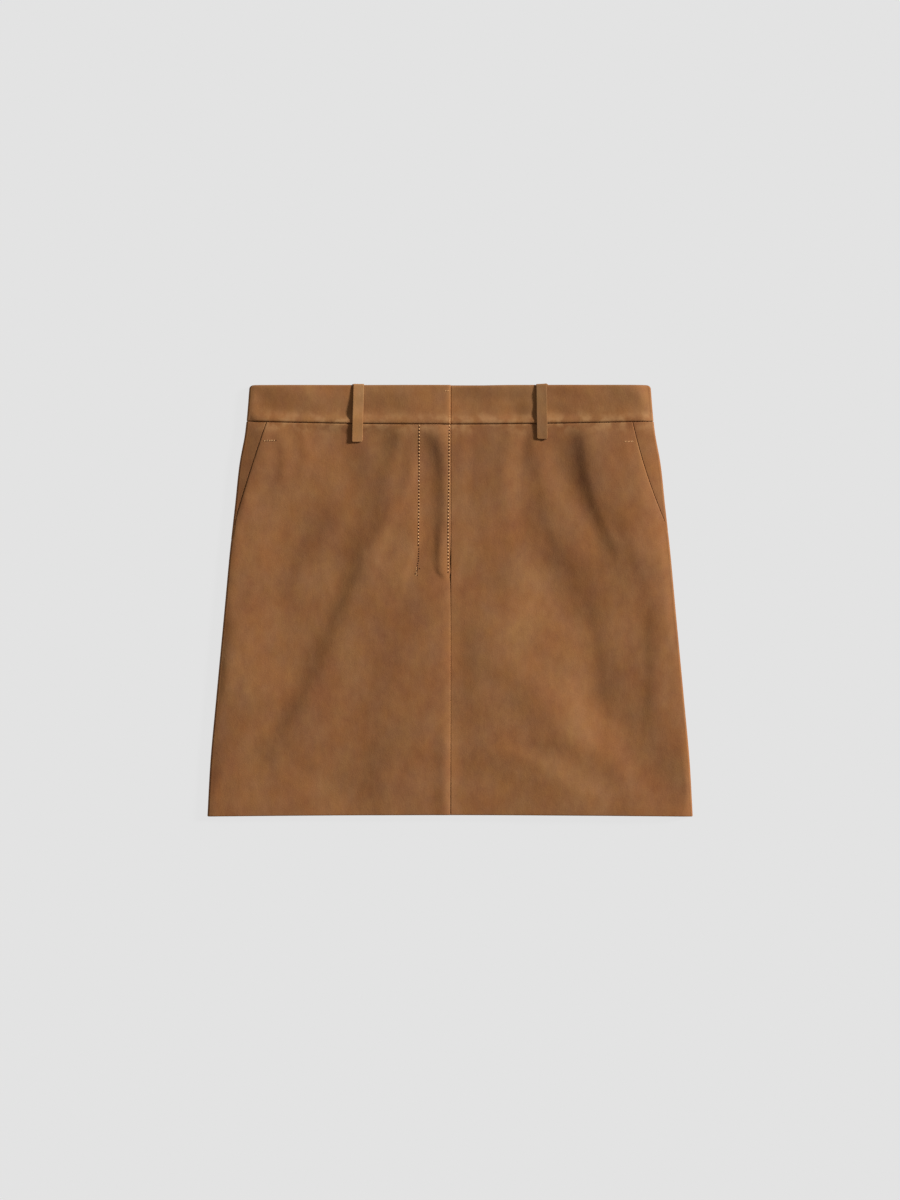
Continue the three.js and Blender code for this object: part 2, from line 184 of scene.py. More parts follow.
# Soft folds and hollows of the front: the crest as (x, down) points, how far the left and right flanks
# reach, and the height, which is negative for a hollow.
folds = {
    "hip": (
        [(-42, 42), (-53, 85), (-56, 120), (-76, 160), (-102, 215), (-132, 284), (-157, 335)],
        13,
        55,
        2.6,
    ),
    "besideFly": ([(-29, 60), (-27, 108), (-26, 140), (-38, 180)], 5, 10, -0.7),
    "belly": ([(-13, 184), (-17, 218), (-28, 258), (-42, 300), (-35, 350), (-42, 385)], 36, 33, 2.7),
    "pocketRight": ([(-171, 42), (-180, 75), (-195, 112)], 8, 15, 1.9),
    "sideRight": ([(-198, 205), (-198, 243), (-216, 275)], 20, 16, 1.1),
    "thighRight": ([(-100, 118), (-124, 152), (-144, 190)], 12, 13, 1.0),
    "hollowRight": ([(-87, 42), (-91, 75), (-129, 100)], 40, 50, -3.1),
    "hollowHip": ([(-144, 110), (-139, 141), (-144, 170)], 35, 55, -2.5),
    "hollowThigh": ([(-144, 200), (-145, 235), (-160, 268)], 53, 55, -2.7),
    "outerRight": ([(-163, 120), (-171, 160), (-173, 190)], 18, 31, -1.1),
    "flyHollow": ([(-17, 50), (-13, 120), (-23, 169)], 17, 6, -0.6),
    "gatherOne": ([(-156, 45), (-153, 70), (-156, 95)], 7, 7, 0.8),
    "hemRight": ([(-56, 345), (-64, 372), (-60, 398)], 13, 13, 0.6),
    "cornerRight": ([(-199, 330), (-223, 380)], 12, 10, 0.8),
    "hemCentre": ([(-4, 330), (-4, 398)], 8, 9, 1.1),
    "hemHollow": ([(26, 345), (30, 372), (40, 398)], 26, 30, -0.2),
    "hemRidge": ([(38, 335), (74, 350), (100, 366), (115, 380)], 25, 14, 2.2),
    "sweep": ([(29, 215), (45, 246), (71, 275), (98, 314), (125, 345)], 26, 21, 2.9),
    "sweepTop": ([(54, 200), (62, 225), (81, 250)], 20, 17, 1.4),
    "frontLeft": ([(57, 45), (50, 80), (55, 120), (58, 150)], 8, 7, 0.6),
    "gatherTwo": ([(24, 50), (20, 100), (22, 150)], 9, 16, -0.6),
    "gatherThree": ([(71, 42), (66, 70)], 5, 6, -0.6),
    "gatherFour": ([(91, 60), (100, 90)], 6, 24, -0.4),
    "valleyTop": ([(73, 70), (76, 100), (65, 130)], 23, 36, -3.2),
    "valley": ([(85, 155), (106, 197), (125, 232)], 23, 24, -2.9),
    "valleyEnd": ([(135, 255), (139, 287), (158, 325)], 23, 28, -3.6),
    "innerValley": ([(101, 55), (110, 88), (126, 116), (138, 140)], 16, 22, -2.1),
    "betweenTop": ([(78, 50), (85, 85), (89, 120), (104, 155)], 6, 12, 0.5),
    "hipLeft": ([(125, 40), (128, 70), (135, 100), (146, 128), (159, 158)], 10, 33, 2.3),
    "hipLeftEnd": ([(166, 118), (171, 150), (193, 197), (200, 235)], 10, 27, 0.8),
    "pocketLeft": ([(186, 42), (189, 62), (193, 80)], 9, 10, -4.1),
    "outerLeft": ([(178, 215), (179, 250), (178, 300)], 17, 8, -1.3),
    "hemLeft": ([(149, 345), (165, 372), (169, 398)], 13, 16, 1.1),
    "cornerLeft": ([(189, 345), (199, 380)], 55, 20, -2.9),
    "hipTop": ([(-84, 45), (-73, 80), (-72, 120), (-90, 160)], 14, 18, 1.2),
    "hipInner": ([(-28, 60), (-43, 100), (-63, 140), (-76, 180)], 7, 6, 0.5),
    "hipLower": ([(-91, 170), (-111, 220), (-132, 270), (-158, 320)], 12, 8, -1.3),
    "hemWide": ([(-152, 350), (-122, 372), (-78, 385)], 43, 17, -0.9),
    "gatherFive": ([(-139, 42), (-133, 70), (-145, 95)], 6, 7, 0.4),
    "lowerLeft": ([(20, 250), (24, 290), (52, 330)], 55, 27, 2.2),
    "kneeLeft": ([(137, 200), (143, 240), (149, 290), (151, 330)], 8, 13, 0.5),
}

foldEnd = {"beyond": 28, "over": 46}  # how a fold dies out beyond the ends of its crest


def foldHeight(fold, x, down):
    crest, left, right, height = fold
    stops = np.array([(along, across) for across, along in crest], dtype=float)
    lean = np.interp(down, stops[:, 0], np.gradient(stops[:, 1], stops[:, 0]))
    aside = (x - curveThrough(stops, down)) / np.sqrt(1 + lean**2)
    flank = np.where(aside < 0, left, right)
    beyond, over = foldEnd["beyond"], foldEnd["over"]
    ends = ease((down - stops[0, 0] + beyond) / over) * ease((stops[-1, 0] + beyond - down) / over)
    return height * np.exp(-((aside / flank) ** 2)) * ends


waviness = {
    "height": 0.3,
    "size": 42,
    "seed": 3.1,
    "fineHeight": 0.07,
    "fineSize": 13,
    "fineSeed": 8.4,
    "stretch": 0.7,  # waves run longer down the skirt than across it
    "bandShare": 0.5,
    "bandStretch": 1.6,
    "bandSeed": 5.7,
}


def smoothNoise(x, down, size, seed):
    points, stretch = zip(np.ravel(x) / size, np.ravel(down) / size), waviness["stretch"]
    values = [noise.noise(Vector((across, along * stretch, seed))) for across, along in points]
    return np.reshape(values, np.shape(x))


def foldRelief(x, down):
    inPanel = ease((down - waistSeam(x)) / fades["waist"])
    relief = sum(foldHeight(fold, x, down) for fold in folds.values())
    waves = waviness["height"] * smoothNoise(x, down, waviness["size"], waviness["seed"])
    fine = waviness["fineHeight"] * smoothNoise(x, down, waviness["fineSize"], waviness["fineSeed"])
    return (relief + (waves + fine)) * inPanel


def fromSideFold(x, down):
    return flatHalf(down) - np.abs(x)


# How the front rises beside each side fold: stops of (down, rise, width), and where it has sunk again.
shoulders = {
    -1: [(40, 0.4, 11), (110, 0.2, 11), (180, 0.0, 11), (260, 1.0, 11), (330, 0.0, 11), (395, 0.0, 11)],
    1: [(40, 2.0, 14), (110, 2.5, 22), (180, 1.0, 15), (260, 0.8, 19), (330, 0.0, 13), (395, 1.9, 11)],
}
shoulderLook = {"power": 1.8, "sinks": 110}


def shoulderHeight(x, down):
    height = 0
    for side, stops in shoulders.items():
        rise, width = curvesThrough(stops, down)
        up = 1 - (1 - held(fromSideFold(x, down) / width)) ** shoulderLook["power"]
        height = height + rise * up * ease(side * x / shoulderLook["sinks"])
    return height


seams = {
    "butt": 0.15,  # between the fronts below the fly
    "waistDip": 0.5,
    "waistReach": 0.9,
    "wearAndHighlightReach": 9,  # how far from the waist seam the rubbed nap and painted highlight reach
}


# The waist seam's turnings pull the cloth down beside it.
def seamDip(x, down):
    return -seams["waistDip"] * np.exp(-(((down - waistSeam(x)) / seams["waistReach"]) ** 2))


edgeRoll = {"height": 0.45, "width": 6}  # how the cloth rounds off towards each side fold


# How far the front's outer side lies above the ground.
def frontHeight(x, down):
    fromFold = fromSideFold(x, down)
    relief = (foldRelief(x, down) + seamDip(x, down)) * ease(fromFold / fades["side"])
    swell = cut["swell"] * ease(fromFold / cut["swellWidth"])
    swell = swell + edgeRoll["height"] * (1 - (1 - held(fromFold / edgeRoll["width"])) ** 2)
    return foldTop + swell + shoulderHeight(x, down) + relief


# How far a facing lies below the pocket's edge and under the front, and the least width it shows.
facingDip = {"edge": 0.3, "under": 1.35, "from": -0.1, "over": 0.6, "least": 0.5}
# How far beside, below the waist seam and above its end each edge pulls the front down.
pocketPull = {"reach": 14, "from": 12, "to": 10}


# The front where the pocket edges hold it down to the facings.
def panelHeight(x, down):
    height = frontHeight(x, down)
    for side, pocket in pockets.items():
        fold = flatHalf(down)
        line = np.minimum(pocketLine(pocket, down), fold)
        wanted = foldTop + facingDip["edge"]
        lack = wanted + pocket["slope"] * (fold - line) - frontHeight(side * line, down)
        within = ease((down - waistSeam(x)) / pocketPull["from"])
        within = within * ease((pocket["end"] - down) / pocketPull["to"])
        height = height + lack * within * (1 - ease(np.abs(side * x - line) / pocketPull["reach"]))
    return height


# Soft dents and swellings of the waistband: x, down, half length, half width, turn and height.
bandDents = [
    (-177, 11, 13, 8, 0.1, -0.7),
    (-169, 22, 21, 7, 0.1, -0.5),
    (-143, 7, 24, 10, 0.2, 1.2),
    (-147, 25, 27, 5, 0, -0.7),
    (-124, 7, 19, 6, 0.1, 0.6),
    (-98, 24, 20, 8, -0.2, -1.2),
    (-60, 7, 23, 6, 0, 0.5),
    (-70, 23, 35, 8, 0, -1.3),
    (-30, 7, 19, 6, 0, 0.4),
    (12, 11, 21, 8, 0, -0.7),
    (21, 21, 40, 12, 0.1, -1.2),
    (47, 12, 21, 6, 0, -0.6),
    (48, 27, 21, 7, -0.1, -0.8),
    (61, 11, 21, 6, -0.1, -0.6),
    (60, 22, 11, 11, 0, -0.9),
    (93, 10, 14, 6, 0, -0.5),
    (93, 24, 13, 8, 0.2, -0.7),
    (113, 3, 19, 6, 0, 0.7),
    (109, 27, 25, 8, 0.1, -0.8),
    (134, 7, 20, 8, 0.1, 0.4),
    (170, 6, 22, 8, 0.3, 1.1),
]
bandRoll = {"seamRise": 0.9, "from": 9, "over": 7}  # over the seam turnings inside its lower edge


def bandDent(dent, x, down):
    placeX, placeDown, length, width, turn, height = dent
    along = (x - placeX) * math.cos(turn) + (down - placeDown) * math.sin(turn)
    aside = (down - placeDown) * math.cos(turn) - (x - placeX) * math.sin(turn)
    return height * np.exp(-((along / length) ** 2) - (aside / width) ** 2)


# The waistband rises over the seam turnings inside its lower edge.
def bandHeight(x, down):
    aboveSeam = waistSeam(x) - down
    roll = bandRoll["seamRise"] * ease((bandRoll["from"] - aboveSeam) / bandRoll["over"])
    dents = sum(bandDent(dent, x, down) for dent in bandDents) * ease(aboveSeam / bandRoll["over"])
    waves = smoothNoise(x, down * waviness["bandStretch"], waviness["size"], waviness["bandSeed"])
    waves = waviness["bandShare"] * waviness["height"] * waves
    relief = (roll + dents + waves) * ease(fromSideFold(x, down) / fades["side"])
    return frontHeight(x, down) + relief


bandLap = {
    "rise": 1.6,  # how far the lapping end stands up
    "riseFrom": 74,
    "riseTo": 30,
    "settle": 30,  # how far below the waist seam the front rises with it
    "fall": 0.8,  # and how far it falls again towards its edge
    "fallWidth": 5,
    "under": 1.4,  # how far the other end lies lower beneath the lap
    "drop": 0.7,  # and beside it
}
lapStep = {"height": 0.8, "over": 60}  # how much lower the left band's top edge lies beside the lap
lapGroove = 0.6  # mm over which the piece underneath comes up beside the lap
lapSettle = 30  # and over which it is level again


# How far the piece underneath lies lower, beneath the lap and beside it.
def lapDrop(lap, x):
    beside = x - cut["lapEdge"]
    return -mix(lap["under"], lap["drop"] * (1 - ease(beside / lapSettle)), ease(beside / lapGroove))


flyLap = {"under": 1.75, "round": 0.08, "middle": -5}  # the fly's lower end is rounded
# The fly stands up over its zip: stops of (down, middle of its left flank, the flank's width, rise,
# and how far it falls again towards its edge).
flyRise = [
    (38, -22, 15, 1.9, 1.9),
    (47, -19.5, 16, 2.6, 1.6),
    (60, -15, 16, 1.9, 0.9),
    (75, -11.5, 15, 1.65, 0.7),
    (90, -12, 14, 1.65, 0.7),
    (110, -11.8, 14, 1.45, 0.7),
    (130, -12, 12, 1.25, 0.7),
    (148, -11.8, 7, 1.05, 1.1),
    (165, -12.5, 8, 1.2, 1.8),
    (182, -12, 8, 0.9, 0.7),
]
# How far the left front lies below the fly's edge, where it comes up beside it.
flyDrop = [(36, 0.4), (120, 0.35), (134, 0.3), (144, 0.1), (176, 0.1), (190, 0.5), (400, 0.5)]


def flyPart(down):
    return 1 - ease((down - cut["flyEnd"]) / fades["flyEnd"])


def bandLift(x):
    return bandLap["rise"] * ease((x + bandLap["riseFrom"]) / (bandLap["riseFrom"] - bandLap["riseTo"]))


def bandRightHeight(x, down):
    fall = bandLap["fall"] * held((x - cut["lapEdge"]) / bandLap["fallWidth"] + 1) ** 2
    return bandHeight(x, down) + bandLift(x) - fall


def bandLeftHeight(x, down):
    return bandHeight(x, down) + lapDrop(bandLap, x)


def frontRightHeight(x, down):
    flank, width, rise, fall = curvesThrough(flyRise, down)
    top = flank + width / 2
    up = ease((x - flank) / width + 0.5)
    rise = rise * flyPart(down + flyLap["round"] * (x - flyLap["middle"]) ** 2)
    raised = bandLift(x) * (1 - up) * (1 - ease((down - waistSeam(x)) / bandLap["settle"]))
    return panelHeight(x, down) + rise * up + raised - fall * held((x - top) / -top) ** 2


tuck = {"ends": 9, "over": 6}  # how far above the fly's end the left front comes out from under it


# The left front is tucked under the fly, and meets the right front edge to edge below it.
def underFly(down):
    return 1 - held((down - cut["flyEnd"] + tuck["ends"]) / tuck["over"])


def frontLeftHeight(x, down):
    drop = curveThrough(flyDrop, down)
    besideFly = lapDrop({"drop": drop, "under": flyLap["under"]}, x)
    belowFly = lapDrop({"drop": drop, "under": drop}, x)
    return panelHeight(x, down) + mix(belowFly, besideFly, underFly(down))


# A pocket facing runs evenly from the front's slanted edge down to the side fold. It dips under the
# front, which leaves a groove along the edge.
def facingHeight(side):
    pocket = pockets[side]

    def height(x, down):
        fold = flatHalf(down)
        line = np.minimum(pocketLine(pocket, down), fold - facingDip["least"])
        start = panelHeight(side * line, down) - facingDip["edge"]
        outward = np.abs(x) - line
        slope = mix(start, foldTop, held(outward / (fold - line)) ** pocket["bulge"])
        level = np.where(outward > 0, slope, panelHeight(x, down) - facingDip["edge"])
        deeper = facingDip["under"] - facingDip["edge"]
        return level - deeper * (1 - ease((outward - facingDip["from"]) / facingDip["over"]))

    return height


halfLoop = 5  # half of a belt loop's width
backLoops = {
    "x": boxOf("belt_loop_back_left")[1][0] - halfLoop,
    "beside": 5.6,  # the back begins to sink here beside a loop's middle
    "length": 52,
    "below": 2,
    "lift": 1.5,
    "slope": 7,
}


# The back lies on the ground, but for where it lies over its own belt loops.
def backHeight(x, down):
    beside = (np.abs(np.abs(x) - backLoops["x"]) - backLoops["beside"]) / backLoops["slope"]
    below = (down - backLoops["length"] - backLoops["below"]) / backLoops["slope"]
    return backLoops["lift"] * ease(1 - beside) * ease(1 - below)


# The cloth's layers: which way each outer side faces, and its height.
layers = {
    "back": {"out": -1, "height": backHeight},
    "bandRight": {"out": 1, "height": bandRightHeight},
    "bandLeft": {"out": 1, "height": bandLeftHeight},
    "frontRight": {"out": 1, "height": frontRightHeight},
    "frontLeft": {"out": 1, "height": frontLeftHeight},
    "facingRight": {"out": 1, "height": facingHeight(-1)},
    "facingLeft": {"out": 1, "height": facingHeight(1)},
}


# The points of a layer that lie `across` and `down`, and `depth` in from its outer side.
def clothPoints(layer, across, down, depth):
    front = layer["out"] > 0
    turn = sideFold["front" if front else "back"]
    side = np.where(across < 0, -1, 1)
    flat = flatHalf(down, turn)
    beyond = np.maximum(np.abs(across) - flat, 0)
    angle = beyond / turn["arc"] * math.pi / 2
    level = layer["height"](across, down) - layer["out"] * depth
    centre = halfThick + (cut["seamGap"] if front else 0)
    turned = centre + layer["out"] * (turn["rise"] - depth) * np.cos(angle)
    x = np.where(beyond > 0, side * (flat + (turn["spread"] - depth) * np.sin(angle)), across)
    z = np.where(beyond > 0, turned, level)
    return np.stack([x, cut["topY"] - down, z], axis=-1)


def addObject(name, data):
    made = bpy.data.objects.new(name, data)
    bpy.context.scene.collection.objects.link(made)
    return made


def newPiece(name, points, faces, material):
    mesh = bpy.data.meshes.new(name)
    mesh.from_pydata([tuple(point) for point in np.asarray(points) * toMetres], [], faces)
    mesh.validate()
    mesh.update()
    mesh.shade_smooth()
    mesh.materials.append(material)
    return addObject(name, mesh)


# Turns a closed mesh so that its faces point outwards.
def facingOut(points, faces):
    triangles = np.array([(f[0], f[i], f[i + 1]) for f in faces for i in range(1, len(f) - 1)])
    a, b, c = (points[triangles[:, corner]] for corner in range(3))
    volume = np.einsum("ij,ij->", a, np.cross(b, c))
    return faces if volume > 0 else [tuple(reversed(face)) for face in faces]


# How thick each part is, and how far the hem is turned up.
suedeWall = {"panel": 1.2, "hem": 2, "hemTurn": 30, "band": 2, "facing": 1, "shield": 1.1}
hemStep = 2  # over how much the wall grows thicker there


# How far each point of a path lies along it.
def runAlong(path):
    return np.concatenate([[0], np.cumsum(np.linalg.norm(np.diff(path, axis=0), axis=1))])


# How full the cloth is at a distance from an edge that is rounded over `reach`.
def fullness(distance, reach):
    return np.sqrt(1 - (1 - held(distance / reach)) ** 2)


def finish(piece, node):
    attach(piece, "root")
    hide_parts(node)
    return piece


# A piece of cloth: a closed wall with rounded edges. `across` and `down` are grids of points, and
# `reach` gives how far each edge's rounding runs: first row, last row, first column, last column. The
# attributes "edge" and "seam" say where the outer side is lighter: "edge" where it is rubbed, and
# "seam" along the waist seam, where it is rubbed nap with a painted highlight.
def clothPiece(name, node, layer, across, down, wall, reach, material):
    gaps = [
        np.abs(down - down[:1]),
        np.abs(down[-1:] - down),
        np.abs(across - across[:, :1]),
        np.abs(across[:, -1:] - across),
    ]
    full = np.prod([fullness(gap, edge) for gap, edge in zip(gaps, reach)], axis=0)
    rounding = wall / 2 * (1 - full)
    outer = clothPoints(layer, across, down, rounding)
    inner = clothPoints(layer, across, down, wall - rounding)
    rows, columns = across.shape
    outerIndex = np.arange(rows * columns).reshape(rows, columns)
    innerIndex = outerIndex.copy()
    inside = (rows - 2) * (columns - 2)
    innerIndex[1:-1, 1:-1] = rows * columns + np.arange(inside).reshape(rows - 2, -1)
    points = np.concatenate([outer.reshape(-1, 3), inner[1:-1, 1:-1].reshape(-1, 3)])

    def quads(index, turned):
        corners = [index[:-1, :-1], index[1:, :-1], index[1:, 1:], index[:-1, 1:]]
        table = np.stack(corners[::-1] if turned else corners, axis=-1).reshape(-1, 4)
        return [tuple(int(corner) for corner in row) for row in table]

    faces = facingOut(points, quads(outerIndex, False) + quads(innerIndex, True))
    piece = newPiece(name, points, faces, material)
    # Near the waist seam the nap is lighter: rubbed, and painted as a highlight.
    bySeam = np.exp(-(((down - waistSeam(across)) / seams["wearAndHighlightReach"]) ** 2))
    for wearAndHighlight, values in (("edge", 1 - full), ("seam", bySeam)):
        attribute = piece.data.attributes.new(wearAndHighlight, "FLOAT", "POINT")
        values = np.concatenate([values.ravel(), np.zeros(inside)])
        attribute.data.foreach_set("value", values.astype(np.float32))
    return finish(piece, node)


# Distances of the first rows or columns from an edge, and from a side seam.
nearEdge = [0, 0.12, 0.35, 0.7, 1.1, 1.6, 2.2, 3]
nearFold = [0, 0.12, 0.35, 0.7, 1.2, 1.8, 2.4, 3, 3.5, 4, 4.6, 5.4, 6.6, 8.2, 10]


# Distances from one edge to the other, closer together near both, with the middle in even steps.
def spread(start, end, first, last, step):
    count = max(int(math.ceil((end - last[-1] - start - first[-1]) / step)), 2)
    middle = np.linspace(start + first[-1], end - last[-1], count + 1)[1:-1]
    return np.concatenate([start + np.array(first), middle, end - np.array(last[::-1])])


# The same for each row, where the edges aren't straight.
def spreadRows(starts, ends, first, last, count):
    first, last = np.array(first), np.array(last[::-1])
    part = np.linspace(0, 1, count + 1)[1:-1]
    middle = mix((starts + first[-1])[:, None], (ends - last[0])[:, None], part[None, :])
    return np.concatenate([starts[:, None] + first, middle, ends[:, None] - last], axis=1)


panelTop = cut["bandCentre"] + cut["seamGap"]


# Rows of a panel are level at the centre and bend with both of its edges.
def panelDown(row, x):
    part = (row - panelTop) / (hemLine(0) - panelTop)
    return mix(waistSeam(x) + cut["seamGap"], hemLine(x), part)


def bandDown(row, x):
    return row / cut["bandCentre"] * waistSeam(x)


# A front ends on its pocket's edge, and below that on the side seam.
def frontEnd(pocket, down):
    seam = sideSeam(down)
    return np.where(down < pocket["end"], np.minimum(pocketLine(pocket, down), seam), seam)


def linearColour(code):
    channels = [int(code[i : i + 2], 16) / 255 for i in (1, 3, 5)]
    linear = [c / 12.92 if c <= 0.04045 else ((c + 0.055) / 1.055) ** 2.4 for c in channels]
    return (*linear, 1)


# An input is a value, a socket, or a node, which stands for its first output.
def addNode(tree, kind, inputs=None, **settings):
    node = tree.nodes.new(kind)
    for name, value in settings.items():
        setattr(node, name, value)
    for name, value in (inputs or {}).items():
        value = value.outputs[0] if isinstance(value, bpy.types.Node) else value
        if isinstance(value, bpy.types.NodeSocket):
            tree.links.new(value, node.inputs[name])
        else:
            node.inputs[name].default_value = value
    return node


def newMaterial(name):
    material = bpy.data.materials.new(name)
    material.use_nodes = True
    material.node_tree.nodes.clear()
    return material, material.node_tree


def shadeSurface(tree, inputs):
    shader = addNode(tree, "ShaderNodeBsdfPrincipled", inputs)
    addNode(tree, "ShaderNodeOutputMaterial", {"Surface": shader})


# Suede: the flesh side of a hide, sanded to a short nap and dyed through. The nap lies in soft patches
# that look lighter or darker as they lean, the dye takes redder or yellower from place to place, and
# folded edges are rubbed lighter. Along the thick waist seam it is lighter in patches: rubbed nap, and
# a painted highlight where the cloth rises over the seam turnings. It has no gloss.
suedeLook = {
    "patch": 45,  # mm across
    "mottle": 9,
    "fibre": 1.1,  # real nap is about 0.2 mm long; drawn coarser so that it shows
    "streak": 0.7,  # the nap is brushed down the skirt
    "redTint": 26,
    "yellowTint": 15,
    # patches along the waist seam, of rubbed nap and painted highlight
    "wearAndHighlight": 13,
    "uneven": 0.55,
    "patchShare": 1,  # how much of the shade each pattern gives
    "mottleShare": 0.8,
    "fibreShare": 0.6,
    "wearAndHighlightShare": 0.45,
    "edgeShare": 0.12,  # how far an edge is worn
    "mottleBump": 0.25,  # mm
    "fibreBump": 0.1,
    "redder": "#fff2e6",
    "yellower": "#fffff0",
}


def suedeMaterial(name, dark, light, wearAndHighlightColour):
    look = suedeLook
    cloth = {"Roughness": 0.94, "Specular IOR Level": 0.2}
    sheen = {"Sheen Weight": 0.2, "Sheen Roughness": 0.5, "Sheen Tint": linearColour(wearAndHighlightColour)}
    material, tree = newMaterial(name)
    place = addNode(tree, "ShaderNodeTexCoord").outputs["Object"]
    streaks = {"Vector": place, "Scale": (1, look["streak"], 1)}
    brushed = addNode(tree, "ShaderNodeMapping", streaks)
    # Each pattern's detail, the place it follows and how far it is moved aside, in metres.
    kinds = {
        "patch": (2, brushed, 0),
        "mottle": (3, brushed, 0),
        "fibre": (2, place, 0),
        "redTint": (3, brushed, 0.7),
        "yellowTint": (3, brushed, 1.9),
        "wearAndHighlight": (2, place, 3.1),
    }
    patterns = {}
    for kind, (detail, vector, aside) in kinds.items():
        moved = addNode(tree, "ShaderNodeVectorMath", {0: vector, 1: (aside, aside, aside)})
        size = {"Scale": 1 / (look[kind] * toMetres), "Detail": detail, "Roughness": look["uneven"]}
        patterns[kind] = addNode(tree, "ShaderNodeTexNoise", {"Vector": moved, **size})
    lean = 0.5  # half way between the two shades of the nap
    for kind in ("patch", "mottle", "fibre"):
        centred = addNode(tree, "ShaderNodeMath", {0: patterns[kind], 1: 0.5}, operation="SUBTRACT")
        added = {0: centred, 1: look[kind + "Share"], 2: lean}
        lean = addNode(tree, "ShaderNodeMath", added, operation="MULTIPLY_ADD")
    # Where the tints and the seam's patches of rubbed nap and painted highlight begin and are full, and
    # how strong they are there.
    tint = (0.35, 0.65, 1)
    limits = {"redTint": tint, "yellowTint": tint, "wearAndHighlight": (0.46, 0.62, look["wearAndHighlightShare"])}
    shares = {}
    for kind, (begins, full, most) in limits.items():
        span = {0: patterns[kind], 1: begins, 2: full, 3: 0, 4: most}
        shares[kind] = addNode(tree, "ShaderNodeMapRange", span)
    edge, seam = (addNode(tree, "ShaderNodeAttribute", attribute_name=wearAndHighlight) for wearAndHighlight in ("edge", "seam"))
    # Edges are worn lighter, and the waist seam is lighter in patches: rubbed nap with painted
    # highlight.
    bySeam = {0: seam.outputs["Fac"], 1: shares["wearAndHighlight"]}
    bySeam = addNode(tree, "ShaderNodeMath", bySeam, operation="MULTIPLY")
    wornAndHighlighted = {0: edge.outputs["Fac"], 1: look["edgeShare"], 2: bySeam}
    wornAndHighlighted = addNode(tree, "ShaderNodeMath", wornAndHighlighted, operation="MULTIPLY_ADD")
    colour = linearColour(dark)
    coats = [
        (lean, light, "MIX"),
        (shares["redTint"], look["redder"], "MULTIPLY"),
        (shares["yellowTint"], look["yellower"], "MULTIPLY"),
        (wornAndHighlighted, wearAndHighlightColour, "MIX"),
    ]
    for share, over, blend in coats:
        mixed = {0: share, 6: colour, 7: linearColour(over)}
        colour = addNode(tree, "ShaderNodeMix", mixed, data_type="RGBA", blend_type=blend).outputs[2]
    under = {}
    for kind in ("mottle", "fibre"):
        bump = {"Height": patterns[kind], "Distance": look[kind + "Bump"] * toMetres, "Strength": 1}
        under = {"Normal": addNode(tree, "ShaderNodeBump", {**bump, **under})}
    shadeSurface(tree, {**cloth, **sheen, "Base Color": colour, **under})
    return material


# Shades one colour by a fine pattern, from `span` to `shades`, and raises the surface by it.
def shadeBy(pattern, tree, gloss, code, span, shades, depth):
    ends = {0: pattern, 1: span[0], 2: span[1], 3: shades[0], 4: shades[1]}
    mixed = {0: 1.0, 6: linearColour(code), 7: addNode(tree, "ShaderNodeMapRange", ends)}
    colour = addNode(tree, "ShaderNodeMix", mixed, data_type="RGBA", blend_type="MULTIPLY").outputs[2]
    bump = addNode(tree, "ShaderNodeBump", {"Height": pattern, "Distance": depth * toMetres})
    shadeSurface(tree, {**gloss, "Base Color": colour, "Normal": bump})


# Sewing thread: spun polyester in the suede's own shade, a little glossier than the nap, with fibres
# that lie in tufts of about 0.4 mm.
def threadMaterial(name, code, roughness, tuft=0.4):
    material, tree = newMaterial(name)
    place = addNode(tree, "ShaderNodeTexCoord").outputs["Object"]
    size = {"Vector": place, "Scale": 1 / (tuft * toMetres), "Detail": 2}
    fibres = addNode(tree, "ShaderNodeTexNoise", size)
    gloss = {"Roughness": roughness, "Specular IOR Level": 0.2}
    shadeBy(fibres, tree, gloss, code, (0.3, 0.7), (0.75, 1.15), 0.05)
    return material


# Zip tape: polyester woven in a plain weave, matt, with threads about 0.3 mm apart.
def tapeMaterial(name, code, threadGap):
    material, tree = newMaterial(name)
    place = addNode(tree, "ShaderNodeTexCoord").outputs["Object"]
    # A wave repeats every 2 pi / 20 units at a scale of 1.
    size = {"Vector": place, "Scale": 2 * math.pi / 20 / (threadGap * toMetres)}
    warp, weft = (addNode(tree, "ShaderNodeTexWave", size, bands_direction=axis) for axis in "XY")
    both = {0: warp.outputs["Fac"], 1: weft.outputs["Fac"]}
    both = addNode(tree, "ShaderNodeMath", both, operation="MULTIPLY")
    shadeBy(both, tree, {"Roughness": 0.8}, code, (0, 1), (0.6, 1.1), 0.1)
    return material


# The waistband's suede is stretched and a little lighter, and the facings are worn less, with a darker
# colour for their wear and painted seam highlight.
suede = suedeMaterial("brushedSuede", "#774d32", "#926741", "#ad8357")
suedeBand = suedeMaterial("brushedSuedeBand", "#7c5134", "#976c44", "#b1875b")
suedeFacing = suedeMaterial("brushedSuedeFacing", "#774d32", "#926741", "#a2784e")
suedeLoop = suedeMaterial("brushedSuedeLoop", "#926843", "#a87e55", "#b58a5e")
# One front loop has a darker copy of the loop suede: painted shade for its nap, which is cut the other
# way.
suedeLoopShaded = suedeMaterial("brushedSuedeLoopShaded", "#815b3c", "#936d49", "#a57d56")
thread = threadMaterial("polyesterThread", "#d9a772", 0.8)
# A needle hole is drawn as a dark bar over the cloth: painted shade for the shadow inside the hole.
needleHoleShade = threadMaterial("needleHoleShade", "#3a1d0b", 0.95)
zipTape = tapeMaterial("wovenZipTape", "#5a4632", 0.3)
# The zip's teeth are a coil of dyed nylon monofilament, smoother than thread.
zipCoil = threadMaterial("nylonCoil", "#5f4a35", 0.4)
print("materials made")

# mm between a mesh's rows and columns, and the widths that the columns are counted over.
meshStep = {"panel": 2.4, "back": 4, "band": 1.8, "panelOver": 190, "backOver": 430}
panelRoll = {"top": 1.1, "hem": 1.2, "side": 0.9}  # how far the rounding of each edge runs


def hemWall(down, x):
    turn = hemLine(x) - suedeWall["hemTurn"]
    return mix(suedeWall["panel"], suedeWall["hem"], ease((down - turn) / hemStep + 0.5))


